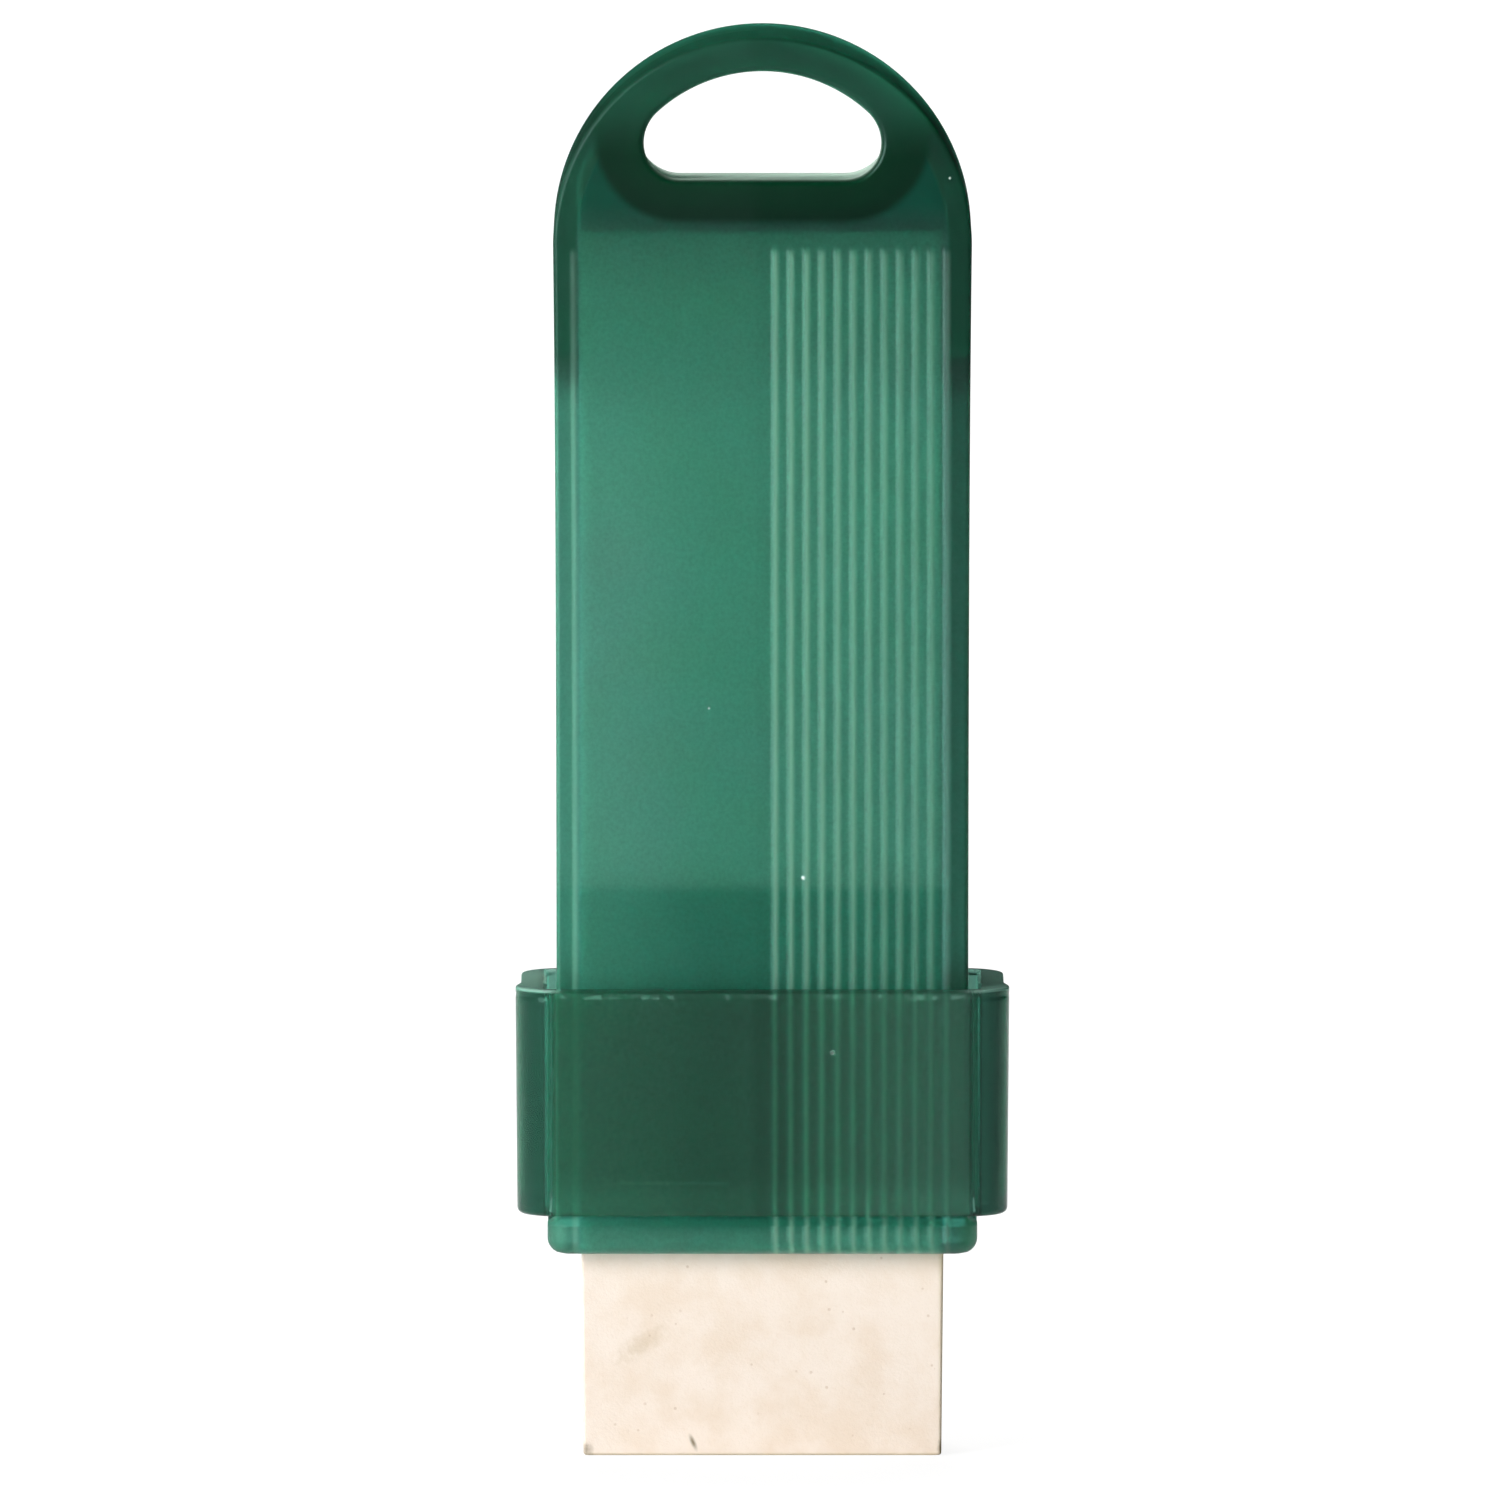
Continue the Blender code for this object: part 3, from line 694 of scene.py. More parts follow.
def hole_outline(shape, growth):
    """The hang hole as X and Z, grown outward all round: flat below and arched above.

    The upper corner circles touch the crown circle from inside, so their centres lie on a circle
    round the crown's centre whose radius is the difference of the two radii. The lower corners fit
    below them.
    """
    sizes = shape.sizes
    crown_z = shape.hole + sizes.hole_height - sizes.hole_crown
    upper_x = sizes.hole_width / 2 - sizes.hole_upper
    upper_z = crown_z + math.sqrt((sizes.hole_crown - sizes.hole_upper) ** 2 - upper_x**2)
    lower_corner = min(sizes.hole_lower, upper_z - shape.hole)
    lower_x = sizes.hole_width / 2 - lower_corner
    lower_z = shape.hole + lower_corner
    tangent = math.degrees(math.atan2(upper_z - crown_z, upper_x))
    crown = sizes.hole_crown + growth
    upper = sizes.hole_upper + growth
    lower = lower_corner + growth
    floor = np.linspace(-lower_x, lower_x, CORNER_STEPS + 2)[1:-1]
    return np.concatenate(
        (
            arc((lower_x, lower_z), lower, -90, 0, CORNER_STEPS),
            arc((upper_x, upper_z), upper, 0, tangent, CORNER_STEPS)[1:],
            arc((0.0, crown_z), crown, tangent, 180 - tangent, CORNER_STEPS * 4)[1:-1],
            arc((-upper_x, upper_z), upper, 180 - tangent, 180, CORNER_STEPS),
            arc((-lower_x, lower_z), lower, 180, 270, CORNER_STEPS),
            np.stack((floor, np.full(len(floor), shape.hole - growth)), axis=1),
        )
    )


def hang_hole(shape):
    """The hang hole's wall: its outline carried through the arch, opening to the back, with round rims.

    The outline grows from front to back by a straight draft. Near each face its growth follows a
    quarter circle, and runs off along the circle's last slope.
    """
    sizes = shape.sizes
    straight = shape.half_depth - sizes.hole_rim
    past = 0.1 * MM  # how far the wall runs on along the last slope
    turn = quarter_turn(ROUND_STEPS, 80.0)
    rim_y = straight + sizes.hole_rim * np.sin(turn)
    rim_y = np.append(rim_y, rim_y[-1] + past)
    rim_growth = sizes.hole_rim * (1.0 - np.cos(turn))
    rim_growth = np.append(rim_growth, rim_growth[-1] + past * math.tan(turn[-1]))
    middle = np.linspace(-straight, straight, ROUND_STEPS)[1:-1]
    draft = sizes.hole_draft * (middle + straight) / (2 * straight)
    y = np.concatenate((-rim_y[::-1], middle, rim_y))
    growth = np.concatenate((rim_growth[::-1], draft, rim_growth + sizes.hole_draft))
    loops = []
    for depth, grown in zip(y, growth):
        outline = hole_outline(shape, grown)
        loops.append(np.stack((outline[:, 0], np.full(len(outline), depth), outline[:, 1]), axis=1))
    return solid("hang_hole", np.array(loops))


def collar_points(sizes):
    """The collar's wall, a closed section carried round a rounded rectangle.

    Outside, the section follows a quarter circle under the lower edge, the drafted side, a bead
    under the upper edge, which sines make uneven, and a small upper round. Inside it is straight
    with a chamfer at each mouth. Behind the front, the sides are drawn in by the cube of X.
    """
    tall = COLLAR_HIGH.z - COLLAR_LOW.z
    bead_middle = tall - 0.65 * MM
    bead_half = 0.35 * MM
    bead_from = tall - 1.0 * MM
    bead_to = tall - 0.3 * MM
    burr_wave = 0.05  # share of the way round that one wave of the burr takes
    ear_back, ear_front = -1.5 * MM, -4.6 * MM
    half_width, half_depth = COLLAR_HIGH.x, COLLAR_HIGH.y

    lower = quarter_turn(ROUND_STEPS)
    low_z = sizes.lower_round * (1.0 - np.cos(lower))
    low_inset = sizes.lower_round * (1.0 - np.sin(lower))
    side_z = stations(sizes.lower_round, (tall - 1.2 * MM, 11))[1:]
    bead_z = np.linspace(bead_from, bead_to, 8)
    upper = quarter_turn(5)
    up_z = tall - sizes.upper_round * (1.0 - np.sin(upper))
    up_inset = sizes.upper_round * (1.0 - np.cos(upper))
    z = np.concatenate((low_z, side_z, bead_z, up_z))
    inset = np.concatenate((low_inset, np.zeros(len(side_z) + len(bead_z)), up_inset))
    inset += sizes.draft * (1.0 - z / tall)
    loop = rounded_loop(long_steps=80, short_steps=24)
    outside = stacked_sections(
        loop, half_width - inset, half_depth - inset, sizes.corner - inset, COLLAR_LOW.z + z
    )
    along = np.linspace(0.0, 1.0, len(loop[0]))
    rough = np.clip(waver(along, 0.0, burr_wave), 0.0, 1.0)
    groove = sizes.burr * hump(z - bead_middle, bead_half)[:, None] * (1.0 - rough)
    outside[:, :, 0] -= groove * np.cos(loop[2])
    outside[:, :, 1] -= groove * np.sin(loop[2])
    side = np.clip(outside[:, :, 0] / half_width, -1.0, 1.0) ** 3
    outside[:, :, 0] -= sizes.ear * side * smoothstep(outside[:, :, 1], ear_front, ear_back)
    in_z = np.array((tall, tall - sizes.lead, tall * 0.66, tall * 0.33, sizes.lead, 0.0))
    in_growth = np.array((sizes.lead, 0.0, 0.0, 0.0, 0.0, sizes.lead))
    inside = stacked_sections(
        loop,
        half_width - sizes.side_wall + in_growth,
        half_depth - sizes.face_wall + in_growth,
        sizes.inner_corner + in_growth,
        COLLAR_LOW.z + in_z,
    )
    return np.concatenate((outside, inside))


def block_points(sizes):
    """The block's surface: rounded rectangles stacked up from the working end, which wear has drawn in.

    Each section is drawn in by the wear, which falls off evenly from the working end to the lips, and
    by a quarter round at both ends.
    """
    worn_to = HOLDER_LOW.z
    turn = quarter_turn(4)
    end = sizes.edge * (1.0 - np.sin(turn))
    inset = sizes.edge * (1.0 - np.cos(turn))
    middle = stations(0.5 * MM, (worn_to, 39), (BLOCK_HIGH.z - 1.0 * MM, 39))
    height = np.concatenate((end[::-1], middle, BLOCK_HIGH.z - end))
    inset = np.concatenate((inset[::-1], np.zeros(len(middle)), inset))
    inset += sizes.wear * np.clip(1.0 - height / worn_to, 0.0, 1.0)
    corners = np.full(len(height), sizes.edge)
    loop = rounded_loop(long_steps=90, short_steps=30)
    return stacked_sections(loop, BLOCK_HIGH.x - inset, BLOCK_HIGH.y - inset, corners, height)


def plastic(name, settings, gloss):
    """Translucent moulded plastic that tints light at its surface and absorbs it inside.

    Hands back the finish with its cloudy tint, its fine mottle and its finer grain, so that a piece
    can add to them. Gloss is the colour of its reflections.
    """
    finish = Finish(name)
    clouds = finish.ease(finish.noise(14.0, detail=3.0), 0.35, 0.7, before=0.0, after=0.15)
    mottle = finish.noise(0.8, detail=3.0, roughness=0.6)
    grain = finish.noise(0.32, roughness=0.6)
    tint = finish.mix(clouds, settings.thin_green, settings.wall_green)
    tint = finish.mix(finish.ease(mottle, 0.4, 0.8, before=0.0, after=0.1), tint, settings.wall_green)
    finish.set(IOR=1.49, Specular_Tint=(*gloss, 1.0))
    passed = (*settings.passed_green, 1.0)
    inside = finish.add("ShaderNodeVolumeAbsorption", Color=passed, Density=settings.density)
    finish.put(finish.surface.inputs["Volume"], inside.outputs[0])
    return finish, tint, mottle, grain


def rib_bands(finish, shape, aside, half):
    """1 along the middle of each grip rib, moved aside, and 0 from the half width outward."""
    from_rib = finish.math("SUBTRACT", finish.x, shape.last_rib / MM + aside)
    from_rib = finish.math("PINGPONG", from_rib, shape.sizes.rib_pitch / MM / 2)
    ribs_to = (shape.last_rib + shape.sizes.rib_half) / MM + 0.15
    return finish.both(
        finish.ease(from_rib, half, 0.0),
        finish.within(finish.x, shape.ribs_from / MM, ribs_to, soft=0.1),
    )


def holder_plastic(shape):
    """The holder's plastic, whose tint carries painted shade and painted highlights besides its ribs and
    small marks.

    Painted shade darkens it under the arch, over the solid arch and side walls, the closed sides above the
    slots, which keep light out, the empty horns beside the boss and the jaw pads. The boss round the hang
    hole is tinted dark, the colour of its deep plastic with painted shade. The left of the front, which is
    satin, is paler by a painted sheen. Painted highlights make the ribs' crests, the edge line and the hang
    hole's wall paler, and a few light dots mark it.
    """
    sizes = shape.sizes
    finish, tint, mottle, grain = plastic("satin_green_plastic", sizes, (0.3, 0.5, 0.45))
    ease, both, mix, total = finish.ease, finish.both, finish.mix, finish.total
    x, z = finish.x, finish.z
    left_right = finish.size(x)
    front = ease(finish.y, 0.0, -1.0)
    foot = shape.foot / MM
    arch = shape.arch / MM
    half_width = shape.half_width / MM
    slot_top = shape.slot_top / MM
    upper = ease(z, slot_top - 3.2, slot_top + 4.8)

    # Painted shade above the slots' tops, where the closed sides keep light out.
    closed_sides_shade = ease(z, slot_top - 5.0, slot_top + 1.0)
    # Painted shade just under the arch.
    shade_under_arch = ease(z, arch - 5.0, arch + 0.5)
    # On the lip's lower part: painted shade a little at the left, painted light more at the right.
    lip = both(ease(z, foot + 2.6, foot + 1.6), ease(x, -15.0, 12.0, before=0.04, after=-0.16))
    # Painted shade in a narrow band down the middle of the front, beside the ribs.
    centre_shade_band = both(finish.within(x, -0.5, 0.45, soft=0.15), front)
    # A soft light streak painted on the front.
    light_streak = both(finish.spot(LIGHT_STREAK_PLACE, half_axes=(0.4, 3.0)), front)
    light = total(
        0.7,
        (grain, 0.6),
        (light_streak, 0.1),
        (closed_sides_shade, -0.07),
        (shade_under_arch, -0.12),
        (lip, -1.0),
        (centre_shade_band, -0.05),
    )

    jaw_top = foot + sizes.jaw_length / MM
    # Painted shade over the jaw pads, less at the far left.
    jaw = both(
        ease(z, jaw_top + 0.5, jaw_top - 0.5),
        ease(z, foot + 1.6, foot + 2.6),
        ease(x, -15.0, -4.0, before=0.6, after=1.0),
        ease(x, 15.7, 15.3),
    )
    # Painted sheen: the left of the front is paler, less so towards the top.
    painted_sheen_left = both(ease(x, -3.0, -14.0), ease(z, arch - 2.9, arch - 24.9, before=0.1, after=1.0))
    tint = finish.tinted(painted_sheen_left, tint, (1.34, 1.09, 1.14))
    # Painted shade: a trace darker and greener above the slots' tops.
    tint = finish.tinted(upper, tint, (0.93, 1.0, 0.96))
    tint = finish.tinted(jaw, tint, (0.5, 0.79, 0.75))
    tint = finish.shade(tint, light)
    # Painted shade: from the arch's foot up, the plastic takes the darker horn tint, beside the boss where
    # the room is empty.
    tint = mix(ease(z, arch - 0.5, arch + 4.0), tint, sizes.horn_shade_green)

    outward = finish.span(x, finish.past(z, arch))
    wall = ease(outward, half_width - 2.1, half_width - 1.7)
    # Painted shade: the arch tint is darker towards the left and darker still high on the left, and the solid
    # arch and side walls take it.
    shaded_high_left = both(ease(z, arch + 3.1, arch + 9.1), ease(x, -3.0, -8.0))
    arch_tint = finish.shade(sizes.wall_green, ease(x, -10.0, 10.0, before=0.76, after=0.94))
    arch_tint = finish.shade(arch_tint, total(1.0, (shaded_high_left, -0.1)))
    solid_wall = both(wall, ease(z, slot_top - 1.0, slot_top + 1.0, before=0.3, after=1.0))
    tint = mix(solid_wall, tint, arch_tint)
    # Painted shade on the right wall, deeper above the slot's top.
    shaded_right_wall = both(wall, ease(x, 0.0, 1.0), ease(z, foot + 2.0, foot + 3.2))
    right_shadow = ease(z, slot_top - 0.2, slot_top + 2.1, before=-0.32, after=-0.56)
    tint = finish.shade(tint, total(1.0, (shaded_right_wall, right_shadow)))
    # Painted shade on the left wall above the slot's top.
    shaded_left_wall = both(wall, ease(x, 0.0, -1.0), upper)
    tint = finish.shade(tint, total(1.0, (shaded_left_wall, -0.25)))

    boss_corner = sizes.boss_corner / MM
    boss_x = (sizes.hole_width / 2 + sizes.boss_beside) / MM - boss_corner
    boss_z = shape.boss / MM + boss_corner
    from_boss = finish.span(finish.past(left_right, boss_x), finish.past(boss_z, z))
    boss = ease(from_boss, boss_corner + 0.5, boss_corner - 0.4)
    # The solid boss is tinted dark green, the colour of its deep plastic with painted shade, turning to the
    # arch tint near the top.
    boss_tint = mix(ease(z, arch + 7.0, arch + 13.0), sizes.boss_green, arch_tint)
    tint = mix(boss, tint, boss_tint)
    # Painted shade along the outer band of the crown.
    crown = both(ease(outward, half_width - 0.4, half_width - 0.1), ease(z, arch + 5.0, arch + 11.0))
    tint = finish.shade(tint, total(1.0, (crown, -0.22)))

    below_arch = ease(z, arch, arch - 1.0)
    less_rightward = ease(x, shape.ribs_from / MM, half_width, before=1.0, after=0.6)
    # Painted highlight: the ribs' worn crests are painted paler and let less light in.
    crest = both(rib_bands(finish, shape, aside=0.1, half=0.38), less_rightward, below_arch, front)
    tint = mix(crest, tint, sizes.crest_highlight_green)
    line_x = (sizes.line_margin - shape.flat) / MM
    leaning_x = ease(z, slot_top + 0.8, slot_top - 21.2, before=line_x + 0.02, after=line_x + 0.14)
    from_line = finish.size(finish.math("SUBTRACT", x, leaning_x))
    line = both(ease(from_line, 0.45, 0.05), below_arch, front)
    # Painted highlight along the edge line, half as strong as on the crests.
    tint = mix(both(line, 0.5), tint, sizes.crest_highlight_green)

    hole_z = shape.hole / MM
    hole_x = sizes.hole_width / 2 / MM
    rim_y = (shape.half_depth - sizes.hole_rim) / MM
    # Painted highlight: the hang hole's wall, strongest low down, is pale, lets little light in and is
    # rougher.
    hole_wall_highlight = both(
        ease(z, hole_z - 1.4, hole_z - 1.2),
        ease(outward, half_width - 0.5, half_width - 1.0),
        ease(left_right, hole_x + 1.3, hole_x + 1.1),
        ease(finish.size(finish.y), rim_y + 0.5, rim_y - 0.1),
        ease(z, hole_z + 1.0, hole_z + 5.0, before=1.0, after=0.3),
    )
    tint = mix(hole_wall_highlight, tint, sizes.hole_highlight_green)
    dots = 0.0
    for place, radius in HOLDER_DOTS:
        dots = finish.math("MAXIMUM", dots, finish.spot(place, (radius, radius)))
    tint = mix(dots, tint, (0.9, 0.95, 0.92))

    satin = both(ease(x, 0.2, -1.0), front)
    fine = both(grain, total(0.15, (satin, 0.85)))
    finish.set(
        Base_Color=tint,
        Roughness=total(0.29, (mottle, 0.08), (satin, 0.12), (hole_wall_highlight, 0.2)),
        Normal=finish.bump(fine, depth=0.008, below=finish.bump(finish.noise(9.0), depth=0.1)),
        Transmission_Weight=total(sizes.clear, (crest, -0.13), (line, -0.05), (hole_wall_highlight, -0.9), (dots, -0.8)),
    )
    return finish.material


def collar_plastic(sizes, shape):
    """The collar's plastic: finely grained outside, smooth inside, with a painted highlight on its upper rim,
    strongest at the left.

    A faint pattern painted at the places of the holder's ribs makes them show through the front as they do in
    the real one. The wings are the parts beside the holder, with painted light on the left one and painted
    shade on the right one. Painted shade darkens the narrow strips of air between the wings and the holder,
    the top edge and a band beside the ribs. A painted highlight line near the left, bright flecks under the
    rim, a faint light line low on the front and a light dot mark the front.
    """
    finish, tint, mottle, grain = plastic("dark_green_plastic", sizes, (0.1, 0.25, 0.2))
    ease, both, mix, total, within = finish.ease, finish.both, finish.mix, finish.total, finish.within
    x, z = finish.x, finish.z
    left_right = finish.size(x)
    front = ease(finish.y, 0.5, -0.5)
    inner_depth = (COLLAR_HIGH.y - sizes.face_wall) / MM
    inner_width = (COLLAR_HIGH.x - sizes.side_wall) / MM
    foot = COLLAR_LOW.z / MM
    top = COLLAR_HIGH.z / MM

    outside = finish.math(
        "MAXIMUM",
        ease(finish.size(finish.y), inner_depth + 0.4, inner_depth + 0.8),
        ease(left_right, inner_width + 0.4, inner_width + 0.8),
    )
    wings = ease(left_right, 17.9, 18.3)
    # Painted shade over the strips of air between the holder and the collar's sides, deeper at the right.
    gap_shade = within(left_right, 17.1, 18.1, soft=0.15)
    between_gaps = ease(left_right, 18.0, 17.0)
    # Painted highlight on the upper rim at the sides, strongest at the left.
    rim = both(
        ease(z, top - 0.35, top - 0.1),
        ease(left_right, 16.0, 18.0),
        ease(x, -1.0, 1.0, before=1.0, after=0.75),
    )
    under_rim = within(z, top - 0.8, top - 0.4, soft=0.12)
    # Bright flecks painted under the rim.
    bright_flecks = both(under_rim, between_gaps, ease(finish.noise(0.8), 0.45, 0.65))
    fainter_rightward = ease(x, shape.ribs_from / MM, 15.0, before=0.46, after=0.18)
    ribs = both(rib_bands(finish, shape, aside=-0.06, half=0.45), fainter_rightward, front)
    right_gap_shade = both(gap_shade, ease(x, 0.0, 1.0))
    # Painted shade along the top edge.
    edge = both(within(z, top - 0.3, top - 0.05, soft=0.08), between_gaps)
    # Painted shade in a band beside the holder's ribs.
    shade_beside_ribs = both(within(x, -0.8, 3.0, soft=0.6), front)
    # Painted highlight line near the left.
    left_highlight_line = both(within(x, -17.3, -16.95, soft=0.2), front)
    low = both(ease(z, foot + 3.7, foot + 1.2), front)
    # A faint light line painted low on the front.
    faint_light_line = both(within(z, foot + 2.7, foot + 2.9, soft=0.08), within(x, -12.0, -3.0, soft=0.5), front)
    light = total(0.85, (grain, total(0.3, (wings, -0.3))), (ribs, 1.0))
    # The lightness takes these marks: those above, painted light on the wings, a front painted a little
    # lighter low down, and painted light towards the left and, a trace, towards the right.
    for mark, strength in (
        (gap_shade, -0.34),
        (wings, 0.17),
        (right_gap_shade, -0.22),
        (edge, -0.3),
        (bright_flecks, 0.25),
        (shade_beside_ribs, -0.12),
        (left_highlight_line, 0.3),
        (low, 0.12),
        (faint_light_line, 0.12),
        (ease(x, 2.0, 13.0), 0.03),
        (ease(x, -9.0, -16.5), 0.09),
    ):
        light = both(light, total(1.0, (mark, strength)))

    # Painted shade a little left of the middle.
    tint = finish.tinted(within(x, -7.0, -0.2, soft=3.0), tint, (0.86, 0.93, 0.91))
    # Painted light on the left wing, painted shade on the right wing.
    for side, change in ((-1.0, (0.8, 1.42, 1.25)), (1.0, (0.62, 1.05, 0.95))):
        tint = finish.tinted(both(wings, ease(x, 0.0, side)), tint, change)
    tint = finish.shade(tint, light)
    tint = mix(both(rim, 0.7), tint, (0.58, 0.86, 0.75))
    dot = finish.spot(COLLAR_DOT, half_axes=(0.36, 0.32))
    tint = mix(dot, tint, (0.38, 0.45, 0.41))

    rough = both(
        total(0.12, (mottle, 0.06)),
        total(0.4, (outside, 0.6)),
        total(1.0, (wings, 0.4)),
        ease(x, -1.0, 4.0, before=1.0, after=0.6),
    )
    clear = total(
        sizes.clear,
        (rim, -0.42),
        (wings, ease(x, -1.0, 1.0, before=0.01, after=-0.07)),
        (front, ease(x, 1.0, 13.0, before=0.0, after=-0.022)),
        (bright_flecks, -0.12),
        (dot, -0.35),
    )
    fine = both(grain, outside, ease(left_right, 17.4, 17.0))
    relief = finish.bump(fine, depth=0.004, below=finish.bump(finish.noise(7.0), depth=0.08))
    finish.set(Base_Color=tint, Roughness=rough, Normal=relief, Transmission_Weight=clear)
    return finish.material


def rubber(settings):
    """Gritty cream rubber: patchy cream with brownish grains, a smudge, an olive tint over its right side and
    working end, and dirt at its lower corners and a nick.
    """
    finish = Finish("gritty_cream_rubber")
    ease, both, mix, spot = finish.ease, finish.both, finish.mix, finish.spot
    front = ease(finish.y, 3.0, -3.0)
    fine = finish.noise(0.45, roughness=0.6)
    patches = ease(finish.noise(5.0, detail=4.0, roughness=0.6), 0.35, 0.7)
    tone = mix(patches, settings.cream, settings.grey_cream)
    tone = mix(ease(fine, 0.55, 0.8, before=0.0, after=0.35), tone, settings.grey_cream)
    grainy = ease(finish.noise(2.0), 0.42, 0.54, before=0.0, after=0.3)
    grains = both(finish.specks(size=1.5, radius=0.16), grainy)
    tone = mix(grains, tone, settings.speck)
    smudge = spot(SMUDGE_PLACE, half_axes=(3.4, 1.3), turn=34.0, ragged=0.9)
    tone = mix(both(smudge, front, 0.4), tone, (0.6, 0.47, 0.3))
    # An olive tint over the right side and along the working end.
    right_edge = ease(finish.x, 14.45, 14.95, before=0.0, after=0.45)
    low_edge = ease(finish.z, 0.35, 0.0, before=0.0, after=0.4)
    tone = mix(finish.math("MAXIMUM", right_edge, low_edge), tone, (0.42, 0.36, 0.12))
    for mark, strength in (
        (spot(CORNER_DIRT, half_axes=(0.55, 1.7), turn=-10.0, ragged=0.5), 1.0),
        (spot(FOOT_DIRT, half_axes=(0.8, 1.0), ragged=0.8), 0.6),
        (spot(NICK_PLACE, half_axes=(0.3, 0.95), turn=24.0, ragged=0.3), 0.85),
    ):
        tone = mix(both(mark, front, strength), tone, settings.dirt)
    relief = finish.bump(finish.noise(0.25, detail=3.0, roughness=0.7), settings.grit / MM)
    finish.set(Base_Color=tone, Roughness=ease(fine, 0.0, 1.0, before=0.85, after=0.98), Normal=relief)
    finish.set(Specular_IOR_Level=0.2)
    return finish.material


class RUSTERASER_OT_make_block(bpy.types.Operator):
    """Model the abrasive block with its worn working end"""

    bl_idname = "rust_eraser.make_block"
    bl_label = "Make block"

    def execute(self, context):
        sizes = context.scene.rust_eraser_block
        block = solid("block", block_points(sizes))
        finish_piece(block, "abrasive_block", rubber(sizes), "block", "eraser_block")
        return {"FINISHED"}


class RUSTERASER_OT_make_holder(bpy.types.Operator):
    """Model the moulded holder with its ribs, lip, jaws, slots and hang hole"""

    bl_idname = "rust_eraser.make_holder"
    bl_label = "Make holder"

    def execute(self, context):
        shape = HolderShape(context.scene.rust_eraser_holder)
        room = carve(holder_room(shape), prism("boss", boss_outline(shape), HOLDER_HIGH.y + OVERRUN, "Y"))
        slots = prism("slots", slot_outline(shape), HOLDER_HIGH.x + OVERRUN, "X")
        holder = carve(holder_skin(shape), room, slots, hang_hole(shape))
        finish_piece(holder, "moulded_holder", holder_plastic(shape), "holder", "holder")
        return {"FINISHED"}


class RUSTERASER_OT_make_collar(bpy.types.Operator):
    """Model the clamping collar with its drafted sides, rounded edges and rough upper edge"""

    bl_idname = "rust_eraser.make_collar"
    bl_label = "Make collar"

    def execute(self, context):
        sizes = context.scene.rust_eraser_collar
        shape = HolderShape(context.scene.rust_eraser_holder)
        collar = solid("collar", collar_points(sizes), close_rows=True)
        material = collar_plastic(sizes, shape)
        finish_piece(collar, "clamping_collar", material, "collar", "lock_ring")
        return {"FINISHED"}


def lamp(name, azimuth, elevation, distance, width, height, power):
    """A soft box that looks at the object's middle. Azimuth 0 is the front, and positive is the right."""
    data = bpy.data.lights.new(name, "AREA")
    data.shape = "RECTANGLE"
    data.size = width
    data.size_y = height
    data.energy = power
    item = add_object(name, data)
    around, above = math.radians(azimuth), math.radians(elevation)
    item.location = (
        distance * math.sin(around) * math.cos(above),
        -distance * math.cos(around) * math.cos(above),
        HOLDER_HIGH.z / 2 + distance * math.sin(above),
    )
    item.rotation_euler = (math.pi / 2 - above, 0.0, around)
    return item


def make_floor(radius):
    """A round floor that takes the object's shadow near the middle and is plain white further out.

    It is three circles round the middle and the faces between them. To the camera it glows, more so
    away from the object.
    """
    angle = np.linspace(0.0, 2 * np.pi, FLOOR_STEPS + 1)[:-1]
    rings = np.array((1.0, 0.3, 0.0005))[:, None] * radius
    points = np.stack((rings * np.cos(angle), rings * np.sin(angle), np.zeros((3, FLOOR_STEPS))), axis=-1)
    middle = list(range(2 * FLOOR_STEPS, 3 * FLOOR_STEPS))
    mesh = bpy.data.meshes.new("floor")
    mesh.from_pydata(points.reshape(-1, 3), [], quads(3, FLOOR_STEPS) + [middle])
    floor = add_object("floor", mesh)
    finish = Finish("white_floor")
    finish.set(Base_Color=(0.88, 0.88, 0.88, 1.0), Roughness=0.9, Specular_IOR_Level=0.0)
    glow = finish.add("ShaderNodeEmission", Color=WHITE, Strength=1.12)
    seen = finish.tree.nodes.new("ShaderNodeLightPath").outputs["Is Camera Ray"]
    share = finish.both(finish.ease(finish.distance(finish.place), 5.0, 80.0, before=0.78, after=1.0), seen)
    blend = finish.add("ShaderNodeMixShader", Fac=share)
    finish.put(blend.inputs[1], finish.shader.outputs[0])
    finish.put(blend.inputs[2], glow.outputs[0])
    finish.put(finish.surface.inputs["Surface"], blend.outputs[0])
    mesh.materials.append(finish.material)


def make_world(stage):
    """White where the camera looks past the object, and dim light all round on the object.

    The dim light changes smoothly from the front to the back by the direction's Y.
    """
    front_y, back_y = -0.3, 0.6
    world = bpy.data.worlds.new("studio")
    world.use_nodes = True
    tree = world.node_tree
    direction = tree.nodes.new("ShaderNodeSeparateXYZ")
    tree.links.new(tree.nodes.new("ShaderNodeTexCoord").outputs["Generated"], direction.inputs[0])
    level = tree.nodes.new("ShaderNodeMapRange")
    level.interpolation_type = "SMOOTHSTEP"
    tree.links.new(direction.outputs["Y"], level.inputs["Value"])
    for socket, number in zip(level.inputs[1:5], (front_y, back_y, stage.front_sky, stage.back_sky)):
        socket.default_value = number
    light = tree.nodes["Background"]
    light.inputs["Color"].default_value = WHITE
    tree.links.new(level.outputs[0], light.inputs["Strength"])
    white = tree.nodes.new("ShaderNodeBackground")
    white.inputs["Color"].default_value = WHITE
    white.inputs["Strength"].default_value = 1.0
    path = tree.nodes.new("ShaderNodeLightPath")
    blend = tree.nodes.new("ShaderNodeMixShader")
    tree.links.new(path.outputs["Is Camera Ray"], blend.inputs[0])
    tree.links.new(light.outputs[0], blend.inputs[1])
    tree.links.new(white.outputs[0], blend.inputs[2])
    tree.links.new(blend.outputs[0], tree.nodes["World Output"].inputs["Surface"])
    bpy.context.scene.world = world


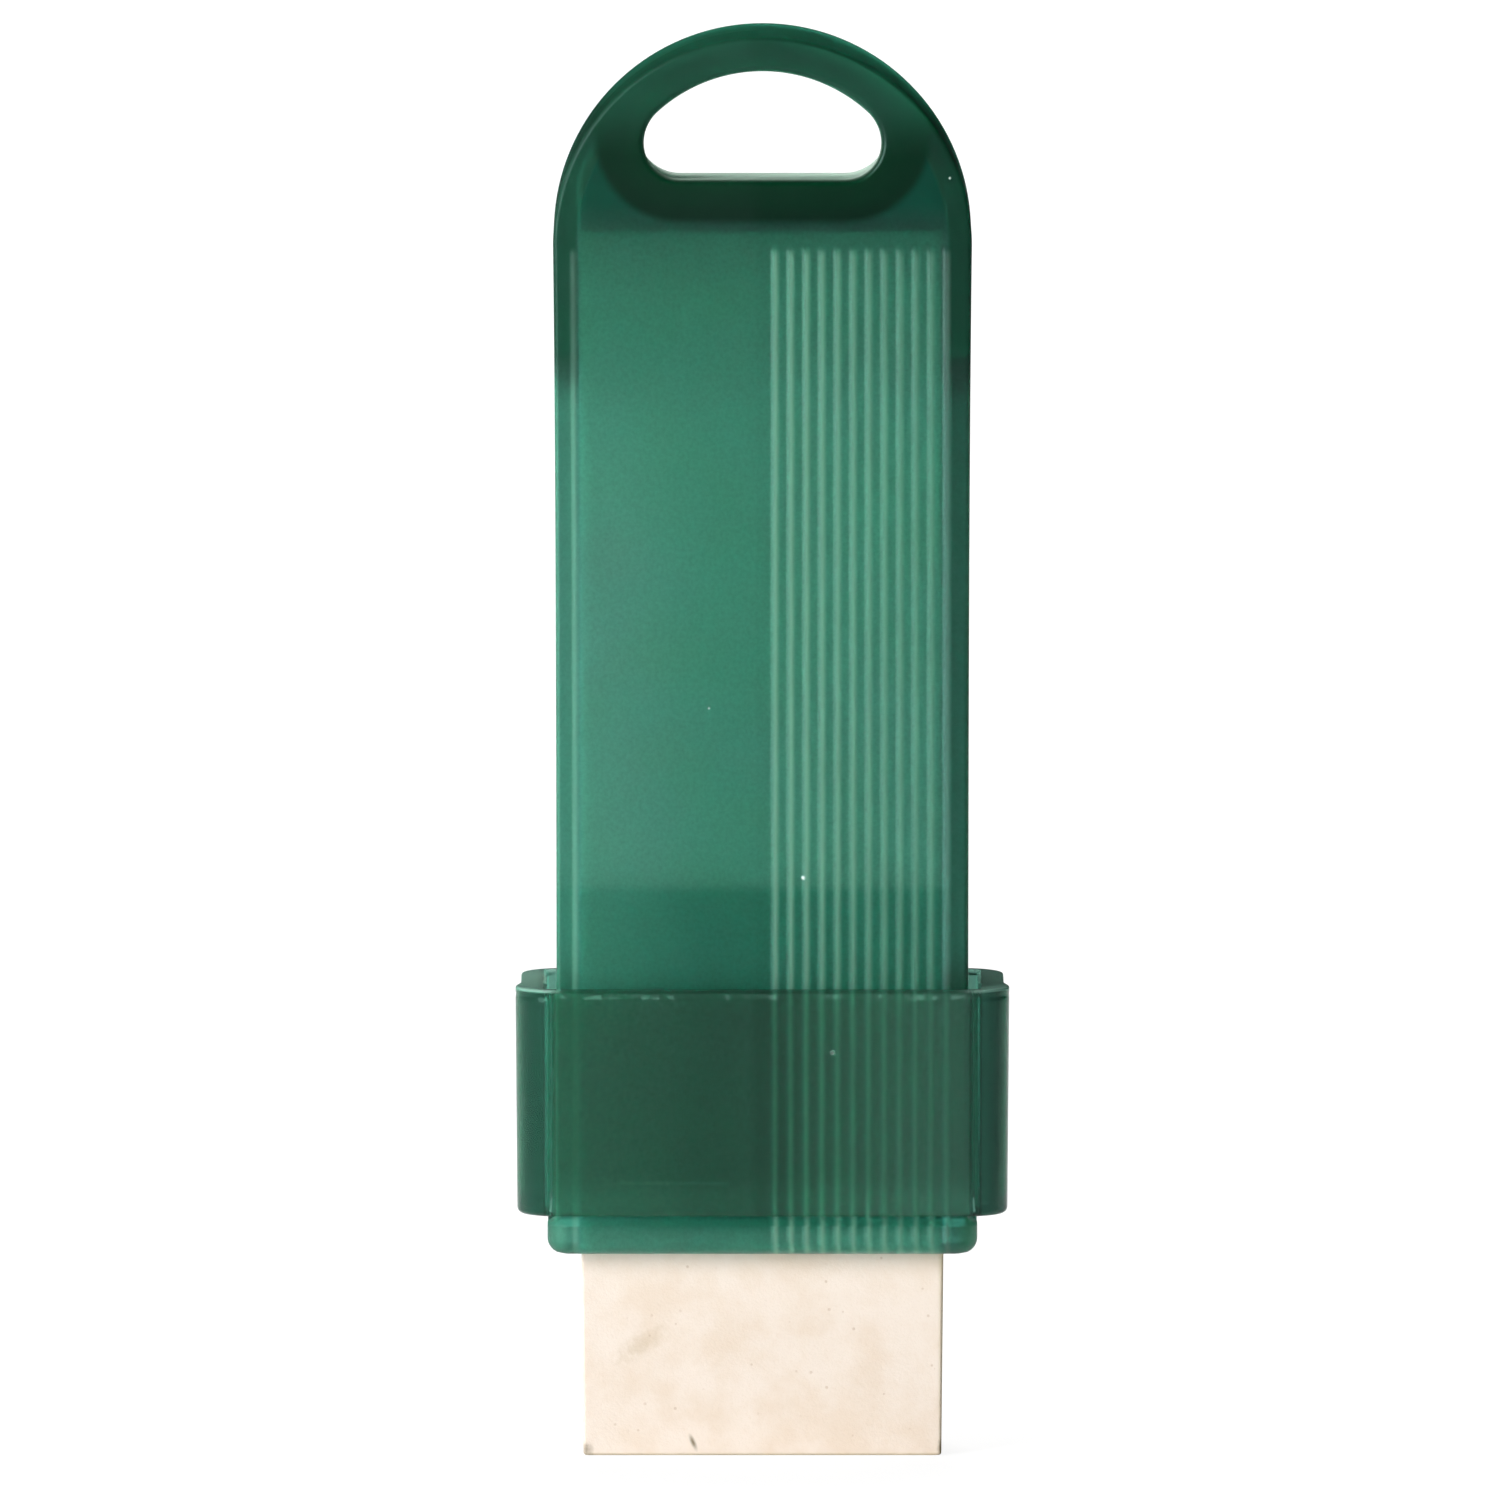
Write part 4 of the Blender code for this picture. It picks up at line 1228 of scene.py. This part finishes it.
def make_camera(stage):
    """A camera in front of the object and a little above it, at the picture's framing."""
    data = bpy.data.cameras.new("camera")
    data.sensor_width = 36.0
    data.lens = data.sensor_width * stage.distance / stage.width
    data.clip_start = 0.05
    data.clip_end = 20.0
    camera = add_object("camera", data)
    camera.location = (
        stage.aim_x,
        -stage.distance * math.cos(stage.elevation),
        stage.aim_z + stage.distance * math.sin(stage.elevation),
    )
    camera.rotation_euler = (math.pi / 2 - stage.elevation, 0.0, 0.0)
    bpy.context.scene.camera = camera


class RUSTERASER_OT_make_stage(bpy.types.Operator):
    """Set up the floor, the lamps, the white surroundings and the camera"""

    bl_idname = "rust_eraser.make_stage"
    bl_label = "Make stage"

    def execute(self, context):
        stage = context.scene.rust_eraser_stage
        make_floor(stage.floor)
        make_world(stage)
        lamp("key_lamp", azimuth=-48.0, elevation=13.0, distance=0.9, width=0.35, height=0.75, power=11.7)
        lamp("side_lamp", azimuth=-105.0, elevation=22.0, distance=0.9, width=0.3, height=0.5, power=1.0)
        lamp("fill_lamp", azimuth=50.0, elevation=20.0, distance=1.0, width=0.6, height=0.6, power=0.5)
        back = lamp(
            "back_lamp", azimuth=180.0, elevation=56.0, distance=0.9, width=0.5, height=0.4, power=5.0
        )
        back.visible_glossy = False
        back.visible_transmission = False
        make_camera(stage)
        context.scene.view_settings.view_transform = "Standard"
        return {"FINISHED"}


class RUSTERASER_PT_panel(bpy.types.Panel):
    """Lists the pieces and their settings"""

    bl_idname = "RUSTERASER_PT_panel"
    bl_label = "Rust eraser"
    bl_space_type = "VIEW_3D"
    bl_region_type = "UI"
    bl_category = "Rust eraser"

    def draw(self, context):
        for operator, settings in OPERATORS:
            box = self.layout.box()
            box.operator(operator.bl_idname)
            group = getattr(context.scene, settings)
            for name in group.__annotations__:
                box.prop(group, name)


OPERATORS = (
    (RUSTERASER_OT_make_block, "rust_eraser_block"),
    (RUSTERASER_OT_make_holder, "rust_eraser_holder"),
    (RUSTERASER_OT_make_collar, "rust_eraser_collar"),
    (RUSTERASER_OT_make_stage, "rust_eraser_stage"),
)
SETTINGS = {
    "rust_eraser_block": BlockSettings,
    "rust_eraser_holder": HolderSettings,
    "rust_eraser_collar": CollarSettings,
    "rust_eraser_stage": StageSettings,
}


def register():
    """Make the settings, the operators and the panel known."""
    for name, group in SETTINGS.items():
        bpy.utils.register_class(group)
        setattr(bpy.types.Scene, name, PointerProperty(type=group))
    for operator, _ in OPERATORS:
        bpy.utils.register_class(operator)
    bpy.utils.register_class(RUSTERASER_PT_panel)


def unregister():
    """Take them away again."""
    bpy.utils.unregister_class(RUSTERASER_PT_panel)
    for operator, _ in reversed(OPERATORS):
        bpy.utils.unregister_class(operator)
    for name, group in SETTINGS.items():
        delattr(bpy.types.Scene, name)
        bpy.utils.unregister_class(group)


def main():
    """Make every piece and the stage."""
    register()
    bpy.ops.rust_eraser.make_block()
    bpy.ops.rust_eraser.make_holder()
    bpy.ops.rust_eraser.make_collar()
    bpy.ops.rust_eraser.make_stage()


if __name__ == "__main__":
    main()
